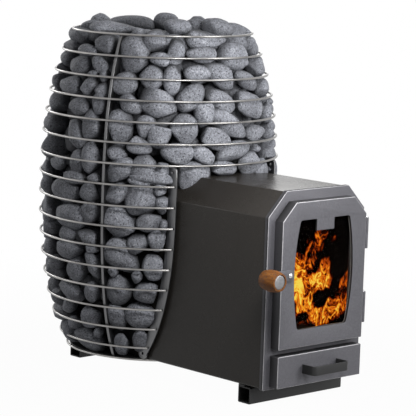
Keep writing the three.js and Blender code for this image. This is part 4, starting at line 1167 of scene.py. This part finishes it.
def fireboxParts():
    # The folded shell: one outline carried from the frame to the closed rear, with its inner wall
    outer = roundedLoop(archCorners(*archSize(firebox)), firebox["bend"])
    inner = roundedLoop(archCorners(*archSize(firebox), firebox["wall"]), firebox["innerBend"])
    front, rear = firebox["face"] + firebox["plate"] + firebox["gap"], firebox["rear"]
    inset, rise = roundRise(firebox["rearEdge"])
    rows = [atDepth(offsetLoop(outer, i), rear - r) for i, r in zip(inset, rise)]
    rows += [atDepth(outer, front), atDepth(inner, front), atDepth(inner, rear - firebox["wall"])]
    parts = placed([gridPart(np.stack(rows), roundCols=True, capStart=True, capEnd=True)], frontAxes)
    low, high = nodeBox("baffle_plate")
    top = low[2] - firebox["gap"]
    for side in (-1, 1):
        near, far = sorted(side * x for x in firebox["ledge"])
        bottom = top - firebox["ledgeHeight"]
        parts += boxParts((near, low[1], bottom), (far, high[1], top), firebox["ledgeEdge"])
    return parts


def flueHole(piece):
    # The round opening in the roof under the flue
    low, high = nodeBox("flue_collar")
    x, y, _ = (low + high) / 2
    data = bpy.data.meshes.new("cutter")
    work = bmesh.new()
    bore, depth = flue["bore"] * toMetres, flue["cut"] * toMetres
    place = Matrix.Translation((x * toMetres, y * toMetres, low[2] * toMetres))
    bmesh.ops.create_cone(work, cap_ends=True, segments=flue["steps"], radius1=bore, radius2=bore,
                          depth=depth, matrix=place)
    work.to_mesh(data)
    work.free()
    cutter = bpy.data.objects.new("cutter", data)
    scene.collection.objects.link(cutter)
    cut = piece.modifiers.new("flue", "BOOLEAN")
    cut.operation, cut.object, cut.solver = "DIFFERENCE", cutter, "EXACT"
    bpy.context.view_layer.update()
    done = bpy.data.meshes.new_from_object(piece.evaluated_get(bpy.context.evaluated_depsgraph_get()))
    piece.modifiers.clear()
    piece.data = done
    done.set_sharp_from_angle(angle=math.radians(meshing["crease"]))
    bpy.data.objects.remove(cutter)


def frameParts():
    # The front frame: a plate with the mouth and the drawer's slot, and a lip that laps the shell
    over, corner = firebox["overhang"], firebox["holeCorner"]
    outline = roundedLoop(archCorners(*archSize(firebox), -over), firebox["corner"])
    mouth = roundedLoop(archCorners(*archSize(door), firebox["mouthInset"]), corner)
    half = firebox["slotHalf"]
    slot = rectangleLoop((-half, firebox["slotBottom"]), (half, firebox["slotTop"]), corner)
    face, back = firebox["face"], firebox["face"] + firebox["plate"]
    plate = plateParts(outline, [mouth, slot], face, back, firebox["plateEdge"])
    inner = offsetLoop(outline, over - firebox["lipSlack"])
    start, end = back - firebox["lipLap"], back + firebox["lip"]
    band = [atDepth(outline, start), atDepth(outline, end), atDepth(inner, end), atDepth(inner, start)]
    return placed(plate + [gridPart(np.stack(band), roundRows=True, roundCols=True)], frontAxes)


def footParts(node, hasPads):
    # A square tube with open ends; the front one carries the base on two pads
    low, high = nodeBox(node)
    top, wall, pad = low[2] + foot["height"], foot["wall"], foot["pad"]
    outline = rectangleLoop(low[1:], (high[1], top), foot["corner"], 5)
    bore = rectangleLoop(low[1:] + wall, (high[1] - wall, top - wall), foot["boreCorner"], 5)
    parts = placed(plateParts(outline, [bore], low[0], high[0], foot["edge"]), sideAxes)
    for start in (low[0], high[0] - pad) if hasPads else ():
        corner = (start, high[1] - pad, top - foot["padLap"])
        parts += boxParts(corner, (start + pad, high[1], high[2]), foot["padEdge"])
    return parts


def flueParts():
    # A short pipe on a flange, with a weld between them
    low, high = nodeBox("flue_collar")
    bottom, top, reach = low[2], high[2], (high[0] - low[0]) / 2
    bore, outer, edge, weld = (flue[key] for key in ("bore", "outside", "flangeEdge", "weld"))
    level = bottom + flue["flange"]
    inset, rise = roundRise(flue["edge"])
    flange = [(bore, bottom), (reach, bottom), (reach, level - edge), (reach - edge, level)]
    pipe = [(outer + weld, level), (outer, level + weld), *zip(outer - inset[::-1], top - rise[::-1])]
    mouth = [(bore + flue["boreEdge"], top), (bore, top - flue["boreEdge"]), (bore, bottom)]
    return turnedParts("flue_collar", flange + pipe + mouth, flue["steps"])


# Door

door = {
    "half": 127.8, "bottom": 127.0, "top": 438.3, "chamfer": 38.6,
    "corner": 2.4, "leastCorner": 0.8, "edge": 1.7,
    "front": -377.05, "back": -353.35, "sheet": 4.0, "ropeGap": 0.4,
    "windowHalf": 75.0, "windowBottom": 165.5, "windowTop": 399.0,
    "windowBulge": 13.5, "windowCorner": 7.0, "windowLean": 1.4,
    "tabHalf": 27.0, "tabHeight": 25.0, "tabEdge": 1.0, "tabCorner": 1.2,
    "glassHalf": 98.0, "glassBottom": 156.0, "glassTop": 408.5, "glassCorner": 4.0, "glassEdge": 0.6,
}


def windowLoop():
    # Straight above and below, bowed at the sides; each bow and corner is a quadratic curve
    half, bottom, top, corner = (door["window" + word] for word in ("Half", "Bottom", "Top", "Corner"))
    low, high = (half + door["windowLean"], bottom + corner), (half + door["windowLean"], top - corner)
    bow = (half + 2 * door["windowBulge"], (bottom + top) / 2)
    right = np.vstack([
        bentCurve((half - corner, bottom), (half, bottom), low, 7), bentCurve(low, bow, high, 33)[1:-1],
        bentCurve(high, (half, top), (half - corner, top), 7)])
    across, drop, edge, ease = door["tabHalf"], top - door["tabHeight"], door["tabEdge"], door["tabCorner"]
    tab = np.array([(across + edge, top), (across, top - edge), (across, drop + ease), (across - ease, drop)])
    return np.vstack([right, tab, mirrored(tab), mirrored(right)])


def doorOutline(inset=0.0):
    return roundedLoop(archCorners(*archSize(door), inset), max(door["corner"] - inset, door["leastCorner"]))


def doorParts():
    pan = panParts(doorOutline(), [windowLoop()], door["front"], door["back"], door["sheet"], door["edge"])
    return placed(pan, frontAxes)


def ropeParts():
    # A round rope laid in the door's flange: a circle carried round an inset of the outline
    low, high = nodeBox("door_gasket")
    thick = (high[1] - low[1]) / 2
    rows = []
    for turn in fullTurn(16):
        outline = doorOutline(door["sheet"] + door["ropeGap"] + thick * (1 - math.cos(turn)))
        rows.append(atDepth(outline, low[1] + thick * (1 - math.sin(turn))))
    return placed([gridPart(np.stack(rows), roundRows=True, roundCols=True)], frontAxes)


hinge = {
    "axis": (137.0, -365.85), "radius": 7.0, "bore": 4.3, "edge": 0.7,
    "web": 6.0, "webStart": 5.0, "webInset": 0.2, "webEdge": 0.5,
    "pin": 4.0, "pinEase": 0.8, "capHeight": 3.0,
    "cap": ((6.0, 0.0), (6.0, 1.2), (5.2, 2.3), (3.0, 2.9), (0.0, 3.0)),  # radius and height of its dome
}


def knuckleParts(node, web):
    # A short tube with eased ends on a web that reaches the frame or the door
    low, high = nodeBox(node)
    (x, y), bore = hinge["axis"], hinge["bore"]
    side = roundedSide(hinge["radius"], low[2], high[2], hinge["edge"])
    tube = lathePart([(bore, low[2]), *side, (bore, high[2]), (bore, low[2])], 36)
    half, start = hinge["web"] / 2, hinge["webStart"]
    bottom, top = low[2] + hinge["webInset"], high[2] - hinge["webInset"]
    corners = (x - half, y + start, bottom), (x + half, high[1], top)
    if web == "door":
        corners = (low[0], y - half, bottom), (x - start, y + half, top)
    return shifted([tube], (x, y, 0)) + boxParts(*corners, hinge["webEdge"])


def hingePinParts(node):
    low, high = nodeBox(node)
    pin, ease, cap = hinge["pin"], hinge["pinEase"], high[2] - hinge["capHeight"]
    profile = [(0, low[2]), (pin - ease, low[2]), (pin, low[2] + ease), (pin, cap)]
    profile += [(radius, cap + rise) for radius, rise in hinge["cap"]]
    return shifted([lathePart(profile, 32)], (*hinge["axis"], 0))


# Latch

latch = {
    "pivot": (-107.0, 286.0), "length": 76.0, "width": 23.0, "edge": 0.7,
    "keeperX": -137.3, "keeperDrop": 6.0, "keeperRadius": 3.3, "notch": 5.25, "notchEdge": 1.0,
    "pivotHole": 4.3, "screwHole": 3.3,
    "bolt": 4.0, "boltEase": 0.6, "head": 6.0, "dome": 5.2, "rim": 5.6,
}


def leverParts():
    # A round-ended strip with a notch below that drops over the keeper
    low, high = nodeBox("latch_lever")
    (x, z), half, length = latch["pivot"], latch["width"] / 2, latch["length"]
    notch, edge, keeper = latch["notch"], latch["notchEdge"], latch["keeperX"] - x
    middle = -latch["keeperDrop"] + latch["keeperRadius"] - notch

    def arc(cx, cy, radius, start, end, count):
        t = np.linspace(start, end, count)
        return np.stack([cx + radius * np.cos(t), cy + radius * np.sin(t)], -1)

    outline = np.vstack([
        arc(0, 0, half, -np.pi / 2, np.pi / 2, 25), arc(-length, 0, half, np.pi / 2, 1.5 * np.pi, 25),
        [[keeper - notch - edge, -half], [keeper - notch, -half + edge]],
        arc(keeper, middle, notch, np.pi, 0, 17),
        [[keeper + notch, -half + edge], [keeper + notch + edge, -half]]])
    holes = [circleLoop(0, 0, latch["pivotHole"]), circleLoop(-length, 0, latch["screwHole"])]
    lever = plateParts(outline, holes, low[1], high[1], latch["edge"])
    return placed(lever, frontAxes, (x, 0, z))


def pivotParts():
    # A domed bolt head in front of the lever
    low, high = nodeBox("latch_pivot_bolt")
    (x, z), bolt, ease, back = latch["pivot"], latch["bolt"], latch["boltEase"], high[1]
    rim = low[1] + latch["rim"]
    turn = np.linspace(0, np.pi / 2, 9)
    dome = [*zip(latch["head"] * np.sin(turn), low[1] + latch["dome"] * (1 - np.cos(turn)))]
    shank = [(latch["rim"], rim), (bolt, rim), (bolt, back - ease), (bolt - ease, back), (0, back)]
    return shifted([lathePart(dome + shank, 40, "y")], (x, 0, z))


knob = {
    "radius": 23.0, "end": 19.3, "back": 18.0, "power": 0.9, "rim": 1.8, "backRim": 1.0,
    "cap": 15.3, "recess": 4.1, "recessEase": 0.6,
    "screw": 3.3, "screwDepth": 28.0,
    "lip": ((-1.2, 0.0), (-0.2, 0.5)), "tail": ((-0.4, -0.3), (-1.4, 0.0)),  # out and back from each end
    "capEase": 1.0, "capDome": 0.45, "capRim": ((-0.3, 0.8), (0.0, 1.3)),
}


def knobParts():
    # A turned barrel with a seat for the cap: radius = end + (widest - end) sin(pi s)^power from front to back
    low, high = nodeBox("knob")
    front, back = low[1], high[1]
    share = np.linspace(0, 1, 28)
    end = knob["end"] + (knob["back"] - knob["end"]) * share
    radius = end + (knob["radius"] - end) * np.sin(np.pi * share) ** knob["power"]
    depth = front + (back - front) * share
    isSide = (depth > front + knob["rim"]) & (depth < back - knob["backRim"])
    cap, floor, ease = knob["cap"], front + knob["recess"], knob["recessEase"]
    seat = [(0, floor), (cap, floor), (cap, front + ease), (cap + ease, front)]
    lip = [(knob["end"] + out, front + along) for out, along in knob["lip"]]
    tail = [(knob["back"] + out, back + along) for out, along in knob["tail"]]
    screw, deep = knob["screw"], back - knob["screwDepth"]
    hole = [(screw, back), (screw, deep), (0, deep)]
    profile = seat + lip + [*zip(radius[isSide], depth[isSide])] + tail + hole
    return turnedParts("knob", profile, 64, "y")


def knobCapParts():
    # A plain disc, very slightly domed, with an eased rim
    low, high = nodeBox("knob_cap")
    radius = (high[0] - low[0]) / 2
    share = np.linspace(0, 1, 8)
    face = [*zip((radius - knob["capEase"]) * share, low[1] + knob["capDome"] * share * share)]
    rim = [(radius + out, low[1] + along) for out, along in knob["capRim"]]
    return turnedParts("knob_cap", face + rim + [(radius, high[1]), (0, high[1])], 56, "y")


# Ash drawer

drawer = {
    "sheet": 3.0, "lowerSheet": 1.2, "edge": 1.7, "corner": 2.2,
    "bar": 4.0, "barHeight": 20.0, "barEdge": 1.1, "bend": 7.0,
}


def drawerParts():
    low, high = nodeBox("ash_drawer_front")
    outline = rectangleLoop(low[[0, 2]], high[[0, 2]], drawer["corner"])
    pan = panParts(outline, [], low[1], high[1], drawer["sheet"], drawer["edge"], drawer["lowerSheet"])
    return placed(pan, frontAxes)


def handleParts():
    # A flat bar carried along a bow: out, round a bend, across, and back
    low, high = nodeBox("drawer_handle")
    half = np.array([drawer["bar"], drawer["barHeight"]]) / 2
    side, reach, bend = high[0] - half[0], low[1] + half[0], drawer["bend"]
    turn = np.linspace(0, np.pi / 2, 10)
    curve = np.stack([side - bend + bend * np.cos(turn), reach + bend - bend * np.sin(turn)], -1)
    right = np.vstack([[[side, high[1]]], curve])
    path = np.vstack([right, mirrored(right)])
    ahead = unit(np.gradient(path, axis=0))
    across = np.column_stack([-ahead[:, 1], ahead[:, 0], np.zeros(len(path))])
    upright = np.broadcast_to(np.array([0.0, 0, 1]), across.shape)
    section = rectangleLoop(-half, half, drawer["barEdge"], 5)
    return [carriedPart(section, atDepth(path, (low[2] + high[2]) / 2), across, upright)]


def woodFinish():
    # Turned hardwood: long grain along the knob, and open dark pores
    finish = Finish("knob_wood", Specular_IOR_Level=0.15)
    grain = finish.noise(130, 5, 0.6, finish.stretched((1, 0.22, 1)), 0.6)
    pores = finish.cells(210, finish.stretched((1, 0.8, 1)))
    ground = finish.ramp(grain, [
        (0.25, (0.062, 0.0186, 0.0043)), (0.5, (0.135, 0.0483, 0.011)), (0.75, (0.22, 0.0888, 0.0212))])
    dots = finish.span(pores, 0.2, 0.34, 1.0, 0.0)
    colour = finish.blend(dots * 0.85, ground, (0.05, 0.035, 0.03))
    return finish.coat(colour, (grain, 0.3, 0.7, 0.42, 0.6), (grain - dots, 0.0006, 0.5))


def capFinish():
    # Satin steel with a fine haze
    finish = Finish("knob_cap_steel", Metallic=1.0)
    haze = finish.noise(240, 3)
    colour = finish.blend(haze, (0.15, 0.15, 0.155), (0.27, 0.27, 0.275))
    return finish.coat(colour, (haze, 0.3, 0.7, 0.3, 0.42), (haze, 0.0002, 0.3))


def buildFirebox():
    shell = fireboxParts()
    flueHole(buildPiece("firebox_body", shell, darkPaintFinish(), "stove", ["firebox_shell"]))
    face = frameParts()
    # Painted highlight on the rim of the face, painted shade on the plate's sides and its lip
    marks = edgeMarks(face, plateEdge, {-1: plateEdge[-1]})
    buildPiece("front_face", face, frontPaint, "stove", ["front_frame"], marks=marks)
    for word in ("front", "rear"):
        tube = footParts(f"{word}_foot", word == "front")
        # The bore and both end faces are painted black as shade
        marks = edgeMarks(tube, tubeEdge, {1: -1, 2: -1, 3: -1})
        buildPiece(f"{word}_runner", tube, blackSteel, "stove", [f"{word}_foot"], marks=marks)
    buildPiece("flue_spigot", flueParts(), blackSteel, "stove", ["flue_collar"])
    dress(castIron, "grate")
    dress(blackSteel, "hearth_plate", "baffle_plate", "ash_pan", "glass_clamp_upper", "glass_clamp_lower")
    dress(brightSteel, "latch_keeper", "latch_pivot_nut", "knob_screw")
    dress(rope, "glass_gasket")
    print("firebox built")


def buildFront():
    pan, tray = doorParts(), drawerParts()
    buildPiece("door_pan", pan, frontPaint, "door", ["door_panel"], marks=panMarks(pan))
    buildPiece("door_rope", ropeParts(), rope, "door", ["door_gasket"])
    for level in ("lower", "upper"):
        for word, body in (("frame", "stove"), ("door", "door")):
            node, name = f"hinge_{word}_knuckle_{level}", f"hinge_tube_{word}_{level}"
            buildPiece(name, knuckleParts(node, word), frontPaint, body, [node])
        node, name = f"hinge_pin_{level}", f"hinge_peg_{level}"
        buildPiece(name, hingePinParts(node), brightSteel, "stove", [node])
    buildPiece("latch_strip", leverParts(), frontPaint, "latch", ["latch_lever"])
    buildPiece("latch_dome", pivotParts(), brightSteel, "door", ["latch_pivot_bolt"])
    buildPiece("knob_turned", knobParts(), woodFinish(), "latch", ["knob"])
    buildPiece("knob_disc", knobCapParts(), capFinish(), "latch", ["knob_cap"])
    marks = panMarks(tray)
    buildPiece("drawer_pan", tray, frontPaint, "ash_drawer", ["ash_drawer_front"], marks=marks)
    buildPiece("drawer_bow", handleParts(), blackSteel, "ash_drawer", ["drawer_handle"])
    print("door, latch and drawer built")


buildFirebox()
buildFront()


# Glass and fire

fire = {
    "depth": -342.0, "middle": 18.0, "half": 118.0, "bow": 10.0, "bottom": 148.0, "top": 408.0,
    "shift": 3.1,  # of the pattern
    # tongues of heat: x, z, half width, half height and strength
    "tongues": (
        (-42, 274, 30, 54, 0.8), (-6, 318, 26, 40, 0.7), (20, 346, 19, 32, 0.64), (38, 366, 9, 22, 0.58),
        (37, 275, 24, 38, 0.66), (22, 252, 50, 34, 0.84), (-28, 228, 42, 56, 0.86), (34, 186, 98, 32, 0.8),
        (100, 204, 38, 30, 0.66), (104, 240, 17, 22, 0.66), (122, 256, 14, 20, 0.56), (64, 346, 14, 10, 0.5),
    ),
    "hollows": (
        (28, 219, 28, 22, 1.0), (-24, 182, 20, 14, 0.6), (74, 240, 18, 16, 0.4), (-54, 166, 20, 13, 0.4),
    ),
}


def glassFinish():
    finish = Finish("fire_glass", Roughness=0.0, IOR=1.04, Specular_IOR_Level=0.02, Transmission_Weight=1.0)
    soot = finish.span(finish.noise(7, 4, 0.6), 0.35, 0.75)
    finish.set("Base Color", finish.blend(soot, (0.76, 0.75, 0.74), (0.64, 0.61, 0.57)))
    return finish


def flameFinish():
    # Tongues of flame: soft lobes give the heat, and stretched noise tears it into wisps and threads
    finish = Finish("flame", Roughness=1.0, Specular_IOR_Level=0.0, Emission_Strength=1.2)
    finish.set("Base Color", (0.0, 0.0, 0.0))
    shift, stretch = fire["shift"], (1, 1, 0.7)
    sway = finish.noise(14, 3, 0.6, finish.stretched(stretch, (shift, shift, shift))) - 0.5
    curl = finish.noise(44, 4, 0.6, finish.stretched(stretch, (-shift, shift, 0))) - 0.5
    across = finish.axis("X") + sway * 0.02 + curl * 0.028
    upright = finish.axis("Z") + curl * 0.036

    def lobe(x, z, wide, tall, strength):
        aside = (across - x * toMetres) / (wide * toMetres)
        above = (upright - z * toMetres) / (tall * toMetres)
        return ((1 - (aside * aside + above * above)) * 1.7).clamp() * strength

    heat = lobe(*fire["tongues"][0])
    for tongue in fire["tongues"][1:]:
        heat = heat.most(lobe(*tongue))
    for hollow in fire["hollows"]:
        heat = heat - lobe(*hollow)
    slow = finish.stretched((1, 1, 0.6), (shift, shift, -shift))
    drift = finish.add("ShaderNodeTexNoise", {}, {"Vector": slow, "Scale": 17.0, "Detail": 3.0}, "Color")
    curled = finish.add("ShaderNodeVectorMath", {"operation": "MULTIPLY_ADD"}, {
        0: drift, 1: (0.1, 0.1, 0.16), 2: finish.place})
    glow = finish.noise(22, 4, 0.6, finish.stretched(stretch, (-shift, shift, shift))) - 0.5
    strands, threads = finish.noise(34, 3, 0.5, curled) - 0.5, finish.noise(80, 3, 0.55, curled) - 0.5
    ridges = (1 - strands.size() * 11).clamp() * 0.6 + (1 - threads.size() * 9).clamp() * 0.42
    heat = (heat * (ridges + glow * 2.1 + 0.3)).clamp()
    finish.set("Emission Color", finish.ramp(heat, [
        (0.17, (0.0, 0.0, 0.0)), (0.32, (0.09, 0.007, 0.0005)), (0.49, (0.42, 0.055, 0.003)),
        (0.67, (0.87, 0.19, 0.007)), (0.84, (1.0, 0.45, 0.02)), (1.0, (1.0, 0.74, 0.09))]))
    finish.set("Alpha", finish.span(heat, 0.16, 0.32))
    return finish


def flameParts():
    # A gently bowed upright sheet: depth = y + bow (x / half)^2
    half = fire["half"]
    x = np.linspace(-half, half, 25)[:, None]
    z = np.linspace(fire["bottom"], fire["top"], 21)[None, :]
    y = fire["depth"] + fire["bow"] * (x / half) ** 2
    return [gridPart(np.stack(np.broadcast_arrays(fire["middle"] + x, y, z), -1))]


def buildFire():
    half, bottom, top = door["glassHalf"], door["glassBottom"], door["glassTop"]
    low, high = nodeBox("door_glass")
    outline = rectangleLoop((-half, bottom), (half, top), door["glassCorner"], 5)
    pane = placed(plateParts(outline, [], low[1], high[1], door["glassEdge"]), frontAxes)
    buildPiece("door_pane", pane, glassFinish(), "door", ["door_glass"])
    buildPiece("flame_1", flameParts(), flameFinish(), "stove")
    print("glass and fire built")


buildFire()


# Stage and light

studio = {
    "floor": 14.0, "ambient": 0.09,
    "lamps": {
        "key": {"place": (0.9, -2.15, 0.85), "aim": (0, -0.1, 0.45), "size": 0.9, "power": 26.0},
        "above": {"place": (1.15, -1.5, 2.6), "aim": (0, 0, 0.45), "size": 0.9, "power": 32.0},
        "front": {"place": (-0.38, -0.72, 0.84), "aim": (-0.12, -0.38, 0.26), "size": 0.35, "power": 7.5},
        "behind": {"place": (0.1, 2.7, 1.3), "aim": (0, 0.1, 0.4), "size": 0.8, "power": 16.0},
        "rear": {"place": (2.1, 2.1, 1.5), "aim": (0, 0.1, 0.4), "size": 0.8, "power": 5.0},
        "left": {"place": (-1.7, 2.0, 0.9), "aim": (-0.1, 0.2, 0.4), "size": 0.8, "power": 6.0},
    },
}


def floorFinish():
    # White to the camera, in reflections and through glass, with a faint part of the stove's shadow left
    finish = Finish("studio_floor", Base_Color=(0.2, 0.2, 0.2, 1), Roughness=1.0, Specular_IOR_Level=0.0)
    glow = finish.add("ShaderNodeEmission", {}, {"Color": (1.0, 1.0, 1.0), "Strength": 1.0})
    away = finish.add("ShaderNodeVectorMath", {"operation": "LENGTH"}, {0: finish.place}, "Value")
    share = finish.seen() * finish.span(away, 0.5, 1.6, 0.975, 1.0)
    ground = Socket(finish, finish.shader.outputs[0])
    shown = finish.add("ShaderNodeMixShader", {}, {0: share, 1: ground, 2: glow})
    finish.feed(finish.output.inputs["Surface"], shown)
    return finish


def addFloor():
    half = studio["floor"] / 2
    grid = np.linspace(-half, half, 9)
    x, y = np.meshgrid(grid, grid, indexing="ij")
    verts, faces = gridPart(np.stack([x, y, np.zeros_like(x)], -1))
    mesh = bpy.data.meshes.new("studio_floor")
    mesh.from_pydata(verts.tolist(), [], faces)
    mesh.materials.append(floorFinish().material)
    floor = bpy.data.objects.new("studio_floor", mesh)
    scene.collection.objects.link(floor)


def addWorld():
    # White to the camera, in reflections and through glass, and dim as a light
    world = bpy.data.worlds.new("studio")
    scene.world = world
    world.use_nodes = True
    tree = Nodes(world.node_tree)
    sockets = tree.nodes["Background"].inputs
    tree.feed(sockets["Color"], (1.0, 1.0, 1.0))
    tree.feed(sockets["Strength"], tree.span(tree.seen(), 0.0, 1.0, studio["ambient"], 1.0))


def addLamps():
    for name, values in studio["lamps"].items():
        lamp = bpy.data.lights.new(name, "AREA")
        lamp.shape, lamp.size, lamp.energy = "DISK", values["size"], values["power"]
        holder = bpy.data.objects.new(name, lamp)
        place, aim = Vector(values["place"]), Vector(values["aim"])
        turn = (aim - place).to_track_quat("-Z", "Y").to_matrix().to_4x4()
        holder.matrix_world = Matrix.Translation(place) @ turn
        scene.collection.objects.link(holder)


addFloor()
addWorld()
addLamps()
print("stage and light ready")
